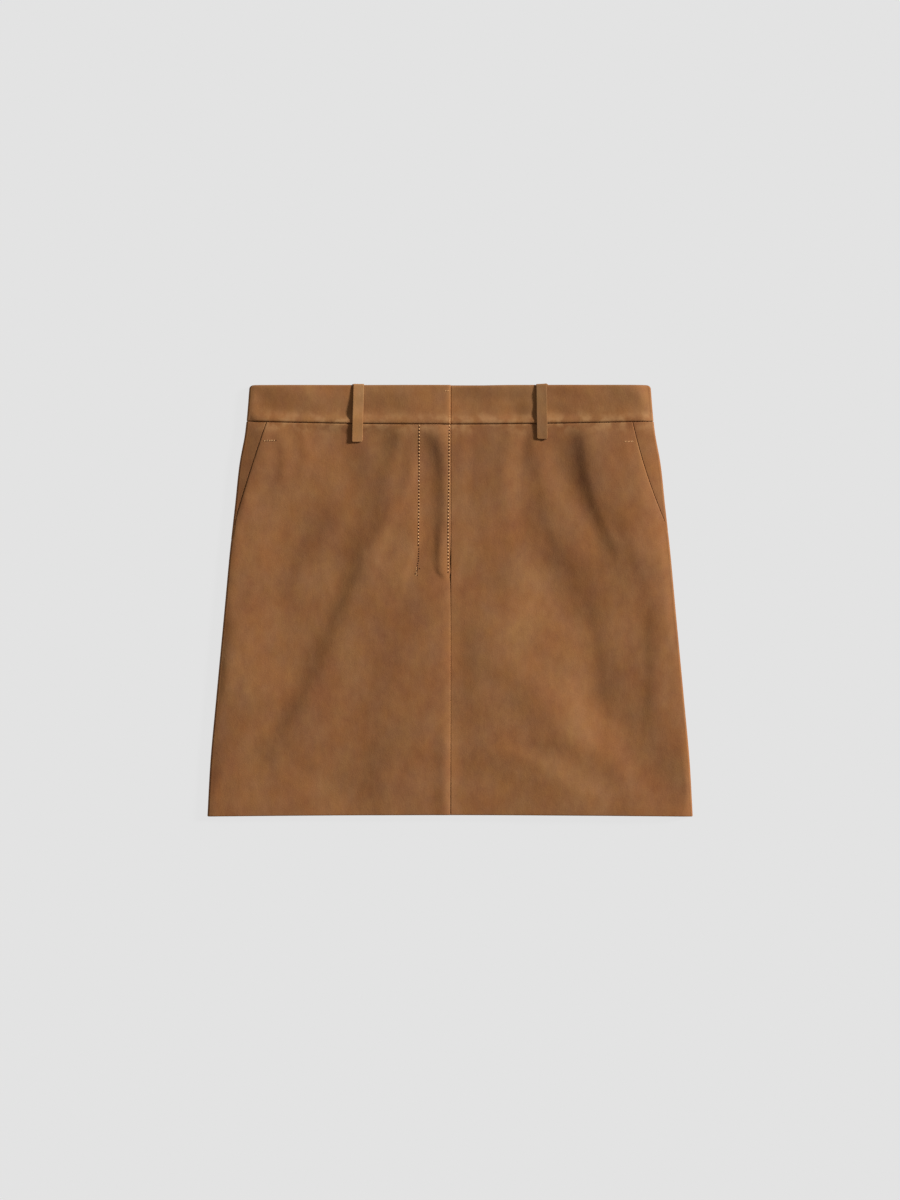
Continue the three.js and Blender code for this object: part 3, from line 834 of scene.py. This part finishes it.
# `nearCentre` gives the columns by the centre line for each row; beyond them they are evenly apart.
def frontPanel(name, node, layer, side, nearCentre, centreReach):
    rows = spread(panelTop, hemLine(0), nearEdge, nearEdge, meshStep["panel"])
    sideDown = panelDown(rows, halfWidth(rows))
    ends = frontEnd(pockets[side], sideDown)
    centre = nearCentre(rows)
    count = int((meshStep["panelOver"] - np.max(centre)) / meshStep["panel"])
    distance = spreadRows(centre[:, -1], ends, [0], nearFold, count)
    distance = np.concatenate([centre[:, :-1], distance], axis=1)
    across = side * distance
    down = panelDown(rows[:, None], across)
    reach = (panelRoll["top"], panelRoll["hem"], centreReach, panelRoll["side"])
    return clothPiece(name, node, layers[layer], across, down, hemWall(down, across), reach, suede)


# Distances from the right front's edge, close together where the fly is stitched.
flyColumns = [*nearEdge[:-1], 2.6, 3.2, 3.8, 4.6, *np.arange(5.6, 27.5, 1.6)]
flyColumns += [28.2, 28.8, 29.4, 30, 30.6, 31.4]
# Distances from the left front's edge, close together where it comes up beside the lap.
tuckColumns = [*nearEdge, 3.8, *np.arange(4.3, 5.45, 0.1), 5.8, 6.6, 8.2]
crowd = 1.4  # how far past the centre line those columns move with the edge


def rightColumns(rows):
    return np.tile(np.array(flyColumns) - cut["lapEdge"], (len(rows), 1))


def leftColumns(rows):
    edge = mix(cut["lapEdge"] + seams["butt"], -cut["underTuck"], underFly(rows))
    fixed = np.array(tuckColumns) - cut["underTuck"]
    moved = crowd - (crowd - fixed) * (crowd - edge[:, None]) / (crowd + cut["underTuck"])
    return np.where(fixed < crowd, moved, fixed)


frontRight = frontPanel("front_right", "front_panel_right", "frontRight", -1, rightColumns, 0.6)
frontLeft = frontPanel("front_left", "front_panel_left", "frontLeft", 1, leftColumns, 0.5)
print("fronts made")

facingLook = {
    # columns under the front, and along its edge
    "tucked": [-25, -24.4, -23, -19, -15, -11, -8, -5, -3, -1.8, -1, -0.6, -0.3],
    "groove": [0, 0.1, 0.2, 0.3, 0.4, 0.5, 0.6, 0.8],
    "columns": 31,
    "crowd": 1.6,  # how much closer they lie towards the side seam
    "end": [0, 0.5, 1, 2],  # rows at its lower end, which lies this much above the opening's
    "above": 1,
    "least": 0.05,  # the least width beside the pocket's edge
    "narrow": 4,  # where it is narrower than this, the groove's columns close up
    "reach": (1, 0.5, 1, 0.6),
}


# A pocket facing lies under the front's slanted edge and comes up to the surface beside it.
def pocketFacing(name, node, layer, side):
    look, pocket = facingLook, pockets[side]
    rows = spread(panelTop, pocket["end"] - look["above"], nearEdge, look["end"], meshStep["panel"])
    sideDown = panelDown(rows, halfWidth(rows))
    line = pocketLine(pocket, sideDown)[:, None]
    width = np.maximum(sideSeam(sideDown)[:, None] - line, look["least"])
    groove = np.array(look["groove"]) * held(width / look["narrow"])
    outboard = 1 - np.linspace(1, 0, look["columns"])[1:] ** look["crowd"]
    distance = mix(line + groove[:, -1:], line + width, outboard)
    distance = np.concatenate([line + look["tucked"], line + groove, distance], axis=1)
    across = side * distance
    down = panelDown(rows[:, None], across)
    layer, wall = layers[layer], suedeWall["facing"]
    return clothPiece(name, node, layer, across, down, wall, look["reach"], suedeFacing)


facingRight = pocketFacing("pocket_facing_r", "pocket_facing_right", "facingRight", -1)
facingLeft = pocketFacing("pocket_facing_l", "pocket_facing_left", "facingLeft", 1)


def backPanel():
    rows = spread(panelTop, hemLine(0), nearEdge, nearEdge, meshStep["back"])
    end = sideSeam(panelDown(rows, halfWidth(rows)), sideFold["back"])
    across = spreadRows(-end, end, nearFold, nearFold, int(meshStep["backOver"] / meshStep["back"]))
    down = panelDown(rows[:, None], across)
    reach = (panelRoll["top"], panelRoll["hem"], panelRoll["side"], panelRoll["side"])
    wall = hemWall(down, across)
    return clothPiece("back", "back_panel", layers["back"], across, down, wall, reach, suede)


back = backPanel()

bandTop = [0, 0.1, 0.3, 0.6, 1, 1.5, 2.1, 2.8, 3.6, 4.6]
bandEdge = [0, 0.15, 0.4, 0.8, 1.3, 1.9, 2.6, 3.4]
# Columns of the left band, close together where it comes up beside the lap.
underlapColumns = [*nearEdge, *np.arange(5.4, 29.9, 2.4), 30.2, 30.5, 30.7, 30.9, 31.1, 31.5, 32.4]


# `ends` gives both ends for each row, `beyond` is how far the piece runs on below the seam, and `step`
# how much lower its top edge starts.
def bandPiece(name, node, layer, ends, first, last, reach, beyond=0.0, step=0.0):
    rows = spread(0, cut["bandCentre"] + beyond, bandTop, bandEdge, meshStep["band"])
    starts, ends = ends(rows)
    count = int(np.max(ends - starts) / meshStep["panel"])
    across = spreadRows(starts, ends, first, last, count)
    lower = step * (1 - rows[:, None] / cut["bandCentre"]) * (1 - ease(across / lapStep["over"]))
    down = bandDown(rows[:, None], across) + lower
    layer, wall = layers[layer], suedeWall["band"]
    return clothPiece(name, node, layer, across, down, wall, reach, suedeBand)


def bandSide(rows, turn=sideFold["front"]):
    return sideSeam(bandDown(rows, halfWidth(rows)), turn)


def rightEnds(rows):
    return -bandSide(rows), np.full(rows.shape, float(cut["lapEdge"]))


def leftEnds(rows):
    return np.full(rows.shape, float(boxOf("waistband_left")[0][0])), bandSide(rows)


def rearEnds(rows):
    return -bandSide(rows, sideFold["back"]), bandSide(rows, sideFold["back"])


bandReach = (2, 0.9)  # how far the rounding of its top and its lower edge runs
bandRight = bandPiece(
    "waistband_r", "waistband_right", "bandRight", rightEnds, nearFold, nearEdge, (*bandReach, 0.9, 0.8)
)
bandLeft = bandPiece(
    "waistband_l",
    "waistband_left",
    "bandLeft",
    leftEnds,
    underlapColumns,
    nearFold,
    (*bandReach, 1.3, 0.9),
    step=lapStep["height"],
)
bandBack = bandPiece(
    "waistband_rear",
    "waistband_back",
    "back",
    rearEnds,
    nearFold,
    nearFold,
    (2, 1.8, 0.9, 0.9),
    beyond=cut["seamGap"] + 0.05,  # it closes the gap at the back's top edge
)
print("back and waistband made")

loopLook = {
    "width": 9.8,
    "thick": 0.8,
    "rise": 0.65,  # how far the strip's middle lies above the top edge
    "bend": 1.6,  # how round it turns over that edge
    "behind": 0.9,  # and how far behind the edge the turn's middle lies
    "short": 1.4,  # the folded end stops this much above the solid's
    "foot": 8,
    "gap": 0.1,
    "dish": 0.12,  # its turned-in edges stand this much above its middle
    "corner": 2.2,
    "cornerShare": 0.4,
    "sideRound": 0.2,  # powers that flatten the faces and round the edges
    "faceRound": 0.4,
    "around": 28,  # points round the strip
    "endRound": 0.6,  # of the thickness
    "least": 0.15,  # share of the thickness at its ends
    "under": 5.2,  # how far beside its middle the cloth beneath is felt
    "feel": (9, 7),  # at how many places across and down
}
# The stretches of a front loop's path: where each starts and ends, in millimetres from the loop's ends
# or as an angle round a turn, and its number of points.
loopPath = {
    "hook": (0.2, 5),
    "over": (0.2, 7),
    "face": (2.2, 2.4, 40),
    "nearEnd": (2.1, 0.95, 6),
    "fold": (0.25, 0.2, 9),
    "foldBase": 2.2,
    "foot": (2.6, 6),
    "footReach": 0.8,
}
# Where a front loop stands off the cloth: stops of (down, place felt, reach, lift), the last of them
# beside the waist seam, and then of (above the end, lift) over its own foot.
overSeam = cut["bandCentre"] - 4
loopStands = [(0, 1, 1, 0.3), (9, 9, 4, 0.7), (20, 20, 4, 0.9), (overSeam, overSeam, 4, 0.45)]
footStands = [(8, 0.25), (2, 0.1)]


# A strip swept along a path of (down, height) points, with rounded edges and ends. `placeX` and
# `widthAt` give its middle and its width for each distance down, and `roll` leans it sideways.
def strip(name, path, placeX, widthAt, dish, roll, material):
    look = loopLook
    path = np.array(path, dtype=float)
    along = np.gradient(path, axis=0)
    along /= np.linalg.norm(along, axis=1)[:, None]
    outward = np.stack([-along[:, 1], along[:, 0]], axis=1)
    turns = np.linspace(0, 2 * math.pi, look["around"], endpoint=False)
    half = look["thick"] / 2
    wide = np.sign(np.cos(turns)) * np.abs(np.cos(turns)) ** look["sideRound"]
    deep = np.sign(np.sin(turns)) * np.abs(np.sin(turns)) ** look["faceRound"] * half
    deep = deep - dish * (1 - wide**2) * (deep > 0) + roll * wide
    run = runAlong(path)
    full = fullness(np.minimum(run, run[-1] - run), look["thick"] * look["endRound"])
    full = np.maximum(full, look["least"])
    points = []
    for here, out, size in zip(path, outward, full):
        x = placeX(here[0]) + wide * (widthAt(here[0]) / 2 - (1 - size) * half)
        spot = here[None, :] + out[None, :] * (deep * size)[:, None]
        points.append(np.stack([x, cut["topY"] - spot[:, 0], spot[:, 1]], axis=1))
    points, ring = np.concatenate(points), len(turns)
    faces = []
    for here in range(0, len(points) - ring, ring):
        ahead = here + ring
        for i in range(ring):
            after = (i + 1) % ring
            faces.append((here + i, here + after, ahead + after, ahead + i))
    faces += [tuple(reversed(range(ring))), tuple(range(len(points) - ring, len(points)))]
    return newPiece(name, points, facingOut(points, faces), material)


# The highest cloth beneath a loop, within `reach` of a place down it.
def highestUnder(layerNames, x, down, reach):
    beside, (wide, deep) = loopLook["under"], loopLook["feel"]
    across = np.linspace(x - beside, x + beside, wide)
    across, along = np.meshgrid(across, np.linspace(down - reach, down + reach, deep))
    panel, band = (layers[name]["height"](across, along) for name in layerNames)
    return float(np.max(np.where(along < waistSeam(across), band, panel)))


# A front loop hooks over the top edge, runs down over the waist seam and turns under at its end.
def frontLoop(name, node, layerNames, topX, lean, roll, material):
    look = loopLook
    low = boxOf(node)[0]
    length = cut["topY"] - low[1] - look["short"]
    half, rise, behind, bend = look["thick"] / 2, look["rise"], look["behind"], look["bend"]

    def above(down, reach, lift):
        return highestUnder(layerNames, topX + lean * down / length, down, reach) + half + lift

    def footHeight(down):
        return above(down, loopPath["footReach"], look["gap"])

    def widthAt(down):
        rounding = look["cornerShare"] * (1 - fullness(length - down, look["corner"]))
        return look["width"] * (1 - rounding)

    stops = [(down, above(*where)) for down, *where in loopStands]
    for up, lift in footStands:
        stops.append((length - up, footHeight(length - up) + look["thick"] + lift))
    turnHeight = stops[0][1] - bend
    start, count = loopPath["hook"]
    path = [(-rise, z) for z in np.linspace(low[2] + start, turnHeight, count)]
    start, count = loopPath["over"]
    for a in np.linspace(start, math.pi / 2, count):
        path.append((behind - (behind + rise) * math.cos(a), turnHeight + bend * math.sin(a)))
    (start, end, count), nearEnd = loopPath["face"], loopPath["nearEnd"]
    face = np.linspace(start, length - end, count)
    face = np.append(face, np.linspace(length - nearEnd[0], length - nearEnd[1], nearEnd[2]))
    path += zip(face, curveThrough(stops, face))
    footBase = footHeight(length - loopPath["foldBase"])
    centre, radius = (path[-1][1] + footBase) / 2, (path[-1][1] - footBase) / 2
    start, end, count = loopPath["fold"]
    for a in np.linspace(start, math.pi - end, count):
        path.append((length - half - radius + radius * math.sin(a), centre + radius * math.cos(a)))
    start, count = loopPath["foot"]
    foot = np.linspace(length - start, length - look["foot"], count)
    path += [(down, footHeight(down)) for down in foot]

    def placeX(down):
        return topX + lean * max(down, 0) / length

    return finish(strip(name, path, placeX, widthAt, look["dish"], roll, material), node)


# The same for a back loop, which lies straight on the ground and bends up round the top edge.
backPath = {"hook": (0.2, 4), "radius": 0.5, "bend": (0.3, 1.4, 4), "face": (0.2, 0.1, 30)}


def backLoop(name, node):
    low, high = boxOf(node)
    middle = (low[0] + high[0]) / 2
    rise, half, radius = loopLook["rise"], loopLook["thick"] / 2, backPath["radius"]
    start, count = backPath["hook"]
    path = [(-rise, z) for z in np.linspace(high[2] - start, half + radius, count)]
    for a in np.linspace(*backPath["bend"]):
        path.append((-rise + radius - radius * math.cos(a), half + radius - radius * math.sin(a)))
    start, end, count = backPath["face"]
    path += [(down, half) for down in np.linspace(start, cut["topY"] - low[1] - end, count)]
    # The outer face is down, so the strip is drawn from its end to its hook.
    path = path[::-1]
    piece = strip(name, path, lambda down: middle, lambda down: loopLook["width"], 0, 0, suedeLoop)
    return finish(piece, node)


rightBox, leftBox = boxOf("belt_loop_front_right"), boxOf("belt_loop_front_left")
rightTop, leftTop = rightBox[1][0] - halfLoop, leftBox[0][0] + halfLoop
rightLean, leftLean = rightBox[0][0] + halfLoop - rightTop, leftBox[1][0] - halfLoop - leftTop
rightLayers, leftLayers = ("frontRight", "bandRight"), ("frontLeft", "bandLeft")
leftTop -= 1.3  # the left loop's middle stands a little beside its solid's
frontLoop("belt_loop_r", "belt_loop_front_right", rightLayers, rightTop, rightLean, -0.05, suedeLoop)
# The left front loop takes the darker copy, which is painted shade.
frontLoop("belt_loop_l", "belt_loop_front_left", leftLayers, leftTop, leftLean, 0.3, suedeLoopShaded)
backLoop("belt_loop_rear_r", "belt_loop_back_right")
backLoop("belt_loop_rear_l", "belt_loop_back_left")
print("belt loops made")


flyGrid = {"rows": 3, "columns": 2, "reach": (0.6, 0.6, 0.6, 0.6)}


# A level strip behind the fly.
def flyStrip(name, node, box, top, wall, material):
    rows = spread(cut["topY"] - box[1][1], cut["topY"] - box[0][1], nearEdge, nearEdge, flyGrid["rows"])
    columns = spread(box[0][0], box[1][0], nearEdge, nearEdge, flyGrid["columns"])
    across, down = np.meshgrid(columns, rows)
    layer = {"out": 1, "height": lambda x, down: np.full(np.shape(x), float(top))}
    return clothPiece(name, node, layer, across, down, wall, flyGrid["reach"], material)


shieldTop = shieldBox[1][2]
zipLook = {
    "tape": 0.55,  # thick
    "tapeTop": shieldTop + 0.62,
    "chain": -8,  # the teeth's middle
    "pitch": 1.6,
    "tooth": 2.2,
    "toothWide": 0.9,
    "apart": 1.1,  # each row from the middle
    "lift": 0.15,
    "stops": (2, 3),  # how far the chain stays inside the tape's ends
}
shield = flyStrip("fly_underlap", "fly_shield", shieldBox, shieldTop, suedeWall["shield"], suedeFacing)
tape = flyStrip("zip_tape", "fly_zip", zipBox, zipLook["tapeTop"], zipLook["tape"], zipTape)

barSizes = ("Pitch", "Length", "Width", "Height")  # in millimetres; slant and jitter are in radians


# A row of small rounded bars along a path, as a node tree with its sizes as inputs.
def stitchTree():
    tree = bpy.data.node_groups.new("stitchRow", "GeometryNodeTree")
    sockets = {"Path": "Geometry", **dict.fromkeys([*barSizes, "Slant", "Jitter"], "Float")}
    for name, kind in {**sockets, "Seed": "Int", "Material": "Material"}.items():
        tree.interface.new_socket(name, in_out="INPUT", socket_type="NodeSocket" + kind)
    tree.interface.new_socket("Stitches", in_out="OUTPUT", socket_type="NodeSocketGeometry")
    given = addNode(tree, "NodeGroupInput").outputs
    curve = addNode(tree, "GeometryNodeMeshToCurve", {"Mesh": given["Path"]})
    spacing = {"Curve": curve, "Length": given["Pitch"]}
    spaced = addNode(tree, "GeometryNodeResampleCurve", spacing, mode="LENGTH")
    ball = addNode(tree, "GeometryNodeMeshUVSphere", {"Segments": 8, "Rings": 5, "Radius": 0.5})
    size = {"X": given["Length"], "Y": given["Width"], "Z": given["Height"]}
    size = addNode(tree, "ShaderNodeCombineXYZ", size)
    bar = addNode(tree, "GeometryNodeTransform", {"Geometry": ball, "Scale": size})
    tangent = addNode(tree, "GeometryNodeInputTangent")
    turned = addNode(tree, "FunctionNodeAlignRotationToVector", {"Vector": tangent}, axis="X")
    least = addNode(tree, "ShaderNodeMath", {0: given["Jitter"], 1: -1.0}, operation="MULTIPLY")
    limits = {2: least, 3: given["Jitter"], "Seed": given["Seed"]}
    wander = addNode(tree, "FunctionNodeRandomValue", limits, data_type="FLOAT").outputs[1]
    slant = addNode(tree, "ShaderNodeMath", {0: given["Slant"], 1: wander}, operation="ADD")
    aslant = addNode(tree, "ShaderNodeCombineXYZ", {"Z": slant})
    spin = addNode(tree, "FunctionNodeEulerToRotation", {0: aslant})
    turns = {"Rotation": turned, "Rotate By": spin}
    turns = addNode(tree, "FunctionNodeRotateRotation", turns, rotation_space="LOCAL")
    bars = {"Points": spaced, "Instance": bar, "Rotation": turns}
    placed = addNode(tree, "GeometryNodeInstanceOnPoints", bars)
    real = addNode(tree, "GeometryNodeRealizeInstances", {"Geometry": placed})
    paint = {"Geometry": real, "Material": given["Material"]}
    painted = addNode(tree, "GeometryNodeSetMaterial", paint)
    addNode(tree, "NodeGroupOutput", {"Stitches": painted})
    return tree


stitchRow = stitchTree()
rowSockets = stitchRow.interface.items_tree
socketOf = {item.name: item.identifier for item in rowSockets if item.in_out == "INPUT"}


# `rows` are lists of (x, y, z) points in millimetres; each becomes one row of stitches.
def stitches(name, rows, sizes, material):
    points, edges = [], []
    for row in rows:
        edges += [(len(points) + i, len(points) + i + 1) for i in range(len(row) - 1)]
        points += [tuple(value * toMetres for value in point) for point in row]
    mesh = bpy.data.meshes.new(name + "Path")
    mesh.from_pydata(points, edges, [])
    path = addObject(name + "Path", mesh)
    rowNodes = path.modifiers.new("stitchRow", "NODES")
    rowNodes.node_group = stitchRow
    for socket, value in sizes.items():
        rowNodes[socketOf[socket]] = value * toMetres if socket in barSizes else value
    rowNodes[socketOf["Material"]] = material
    shown = path.evaluated_get(bpy.context.evaluated_depsgraph_get())
    made = bpy.data.meshes.new_from_object(shown)
    made.name = name
    made.shade_smooth()
    piece = addObject(name, made)
    path.modifiers.clear()
    bpy.data.objects.remove(path)
    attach(piece, "root")


# Paths on layers from rows of (x, down) points, `lift` above the outer side, with a point every mm.
def onLayers(rows, lift):
    paths = []
    for layerName, stops in rows:
        stops = np.array(stops, dtype=float)
        run = runAlong(stops)
        places = np.linspace(0, run[-1], max(int(run[-1]), 1) + 1)
        x, down = (np.interp(places, run, stops[:, axis]) for axis in (0, 1))
        height = layers[layerName]["height"](x, down) + lift
        paths.append(np.stack([x, cut["topY"] - down, height], axis=1).tolist())
    return paths


# The thread is about 0.6 mm thick; it and the needle holes are drawn wider so that they show.
flyStitch = {"Pitch": 3, "Length": 1.6, "Width": 1.05, "Height": 0.5}
flyStitch |= {"Slant": 0.2, "Jitter": 0.1, "Seed": 4}
flyHole = {**flyStitch, "Length": 1.7, "Width": 1.6, "Height": 0.14, "Seed": 9}
lifts = {"stitch": 0.1, "hole": 0.12, "tack": 0.08}  # above the cloth's outer side
rowTop = cut["bandCentre"] + 1.6
flyRows = [
    ("frontRight", [(-0.9, rowTop), (-1.2, 90), (-1.9, 130), (-1.9, 172)]),
    ("frontRight", [(-28.6, rowTop), (-28.9, 90), (-29.4, 147)]),
]


# Half a stitch further down. Both ends move, so that the row keeps its length and its pitch.
def shifted(row):
    layerName, stops = row
    by, ends = flyStitch["Pitch"] / 2, (0, len(stops) - 1)
    return layerName, [(x, down + by * (place in ends)) for place, (x, down) in enumerate(stops)]


stitches("fly_stitches", onLayers(flyRows, lifts["stitch"]), flyStitch, thread)
# Dark bars of painted shade stand for the fly's needle holes.
flyHoleRows = onLayers([shifted(row) for row in flyRows], lifts["hole"])
stitches("fly_needle_hole_shades", flyHoleRows, flyHole, needleHoleShade)

# Bar tacks: close stitches across the end of each pocket's top and at the fly's second row.
tackStitch = {**flyStitch, "Pitch": 1.4, "Length": 0.7, "Width": 1.3, "Jitter": 0.25, "Seed": 12}
tackHole = {**flyHole, "Pitch": 2.1, "Length": 1.3, "Width": 1.3}
tackRows = [
    ("frontRight", [(-172, 51.8), (-162.5, 51.6)]),
    ("frontLeft", [(162, 52.6), (169, 52.4)]),
    ("frontRight", [(-31.4, 169.5), (-31.6, 176.8)]),
    ("bandRight", [(-0.6, 29), (-0.6, 34.5)]),
    ("bandRight", [(-4.2, 5.6), (-1.4, 5.4)]),
]
tackZigzag = [(-28.9, 152), (-29.3, 163), (-30.6, 169.5), (-27.8, 170)]
tackZigzag += [(-31.8, 171.6), (-29.8, 172.8), (-32.6, 174.8), (-30.6, 176.4)]
tackHoleRows = [("frontRight", [(-172, 51.8), (-161.3, 51.6)]), ("frontRight", tackZigzag)]
stitches("bar_tacks", onLayers(tackRows, lifts["tack"]), tackStitch, thread)
# Dark bars of painted shade stand for the tacks' needle holes.
stitches("tack_needle_hole_shades", onLayers(tackHoleRows, lifts["hole"]), tackHole, needleHoleShade)

coilTooth = {"Pitch": zipLook["pitch"], "Length": zipLook["tooth"], "Width": zipLook["toothWide"]}
coilTooth |= {"Height": zipLook["toothWide"], "Slant": math.pi / 2, "Jitter": 0.0, "Seed": 1}
coilTop, coilEnd = (cut["topY"] - zipBox[end][1] for end in (1, 0))
coilPlaces = np.linspace(coilTop + zipLook["stops"][0], coilEnd - zipLook["stops"][1], 40)
coilRows = []
for side in (-1, 1):  # the teeth of the second row stand between those of the first
    x, aside = zipLook["chain"] + side * zipLook["apart"], (side + 1) * zipLook["pitch"] / 4
    height = zipLook["tapeTop"] + zipLook["lift"]
    coilRows.append([(x, cut["topY"] - down - aside, height) for down in coilPlaces])
stitches("zip_coil", coilRows, coilTooth, zipCoil)
print("stitches made")

# What each sheet was cut to, in metres.
panelLength = (cut["hem"] - cut["bandCentre"]) * toMetres
sheets = [
    (frontRight, (0.228, panelLength), 0.0735, ["back", "fly_underlap"]),
    (frontLeft, (0.228, panelLength), 0.0737, ["back", "fly_underlap"]),
    (back, (0.454, panelLength), 0.153, ["waistband_rear"]),
    (facingRight, (0.056, 0.11), 0.0042, ["back"]),
    (facingLeft, (0.056, 0.102), 0.004, ["back"]),
    (bandRight, (0.191, 0.036), None, ["waistband_rear", "waistband_l"]),
    (bandLeft, (0.221, 0.036), None, ["waistband_rear"]),
    (bandBack, (0.381, 0.036), None, ["back"]),
    (shield, (0.042, 0.14), None, ["back"]),
    (tape, (0.024, 0.132), None, ["fly_underlap"]),
]
for piece, flat, area, restsOn in sheets:
    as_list(restsOn)

studio = {
    "floor": "#e3e3e3",
    "floorHalf": 60,  # m
    "floorLevel": -0.0003,
    "glow": 0.97,  # the floor's own light, which leaves it even and almost without shadow
    "key": 6.3,  # W/m2
    "keyHeight": 22,  # degrees above the floor
    "keyTurn": 20,  # degrees from X towards Y
    "keySoftness": 9,  # degrees across
    "world": 0.25,
}


def makeFloor():
    mesh = bpy.data.meshes.new("floor")
    far = studio["floorHalf"]
    turns = ((-far, -far), (far, -far), (far, far), (-far, far))
    mesh.from_pydata([(x, y, studio["floorLevel"]) for x, y in turns], [], [(0, 1, 2, 3)])
    material, tree = newMaterial("paleFloor")
    pale = {"Color": linearColour(studio["floor"])}
    glow = addNode(tree, "ShaderNodeEmission", {**pale, "Strength": 1.0})
    matt = addNode(tree, "ShaderNodeBsdfDiffuse", pale)
    both = addNode(tree, "ShaderNodeMixShader", {0: studio["glow"], 1: matt, 2: glow})
    addNode(tree, "ShaderNodeOutputMaterial", {"Surface": both})
    mesh.materials.append(material)
    addObject("floor", mesh)


# One broad soft key, low and from the wearer's left, far enough away to light the skirt evenly.
def makeKey():
    data = bpy.data.lights.new("key", "SUN")
    data.energy, data.angle = studio["key"], math.radians(studio["keySoftness"])
    height, turn = math.radians(studio["keyHeight"]), math.radians(studio["keyTurn"])
    level = math.cos(height)
    towards = Vector((level * math.cos(turn), level * math.sin(turn), math.sin(height)))
    addObject("key", data).rotation_euler = towards.to_track_quat("Z", "Y").to_euler()


def makeStudio():
    makeFloor()
    makeKey()
    world = bpy.data.worlds.new("studio")
    world.use_nodes = True
    background = world.node_tree.nodes["Background"]
    background.inputs["Color"].default_value = (1, 1, 1, 1)
    background.inputs["Strength"].default_value = studio["world"]
    bpy.context.scene.world = world
    bpy.context.scene.view_settings.view_transform = "Standard"


# In metres, but for the sensor's width in millimetres: how far above the floor the camera is, and what
# width it sees there.
framing = {"distance": 3.0, "sees": 1.1105, "sensor": 36, "aside": -0.00005, "up": 0.00015, "clip": 50}


def makeCamera():
    low, high = cadBounds
    data = bpy.data.cameras.new("camera")
    data.sensor_width = framing["sensor"]
    data.lens = framing["sensor"] * (framing["distance"] - high.z) / framing["sees"]
    data.clip_end = framing["clip"]
    camera = addObject("camera", data)
    middle = (low + high) / 2
    camera.location = (middle.x + framing["aside"], middle.y + framing["up"], framing["distance"])
    bpy.context.scene.camera = camera


makeStudio()
makeCamera()
print("studio made")
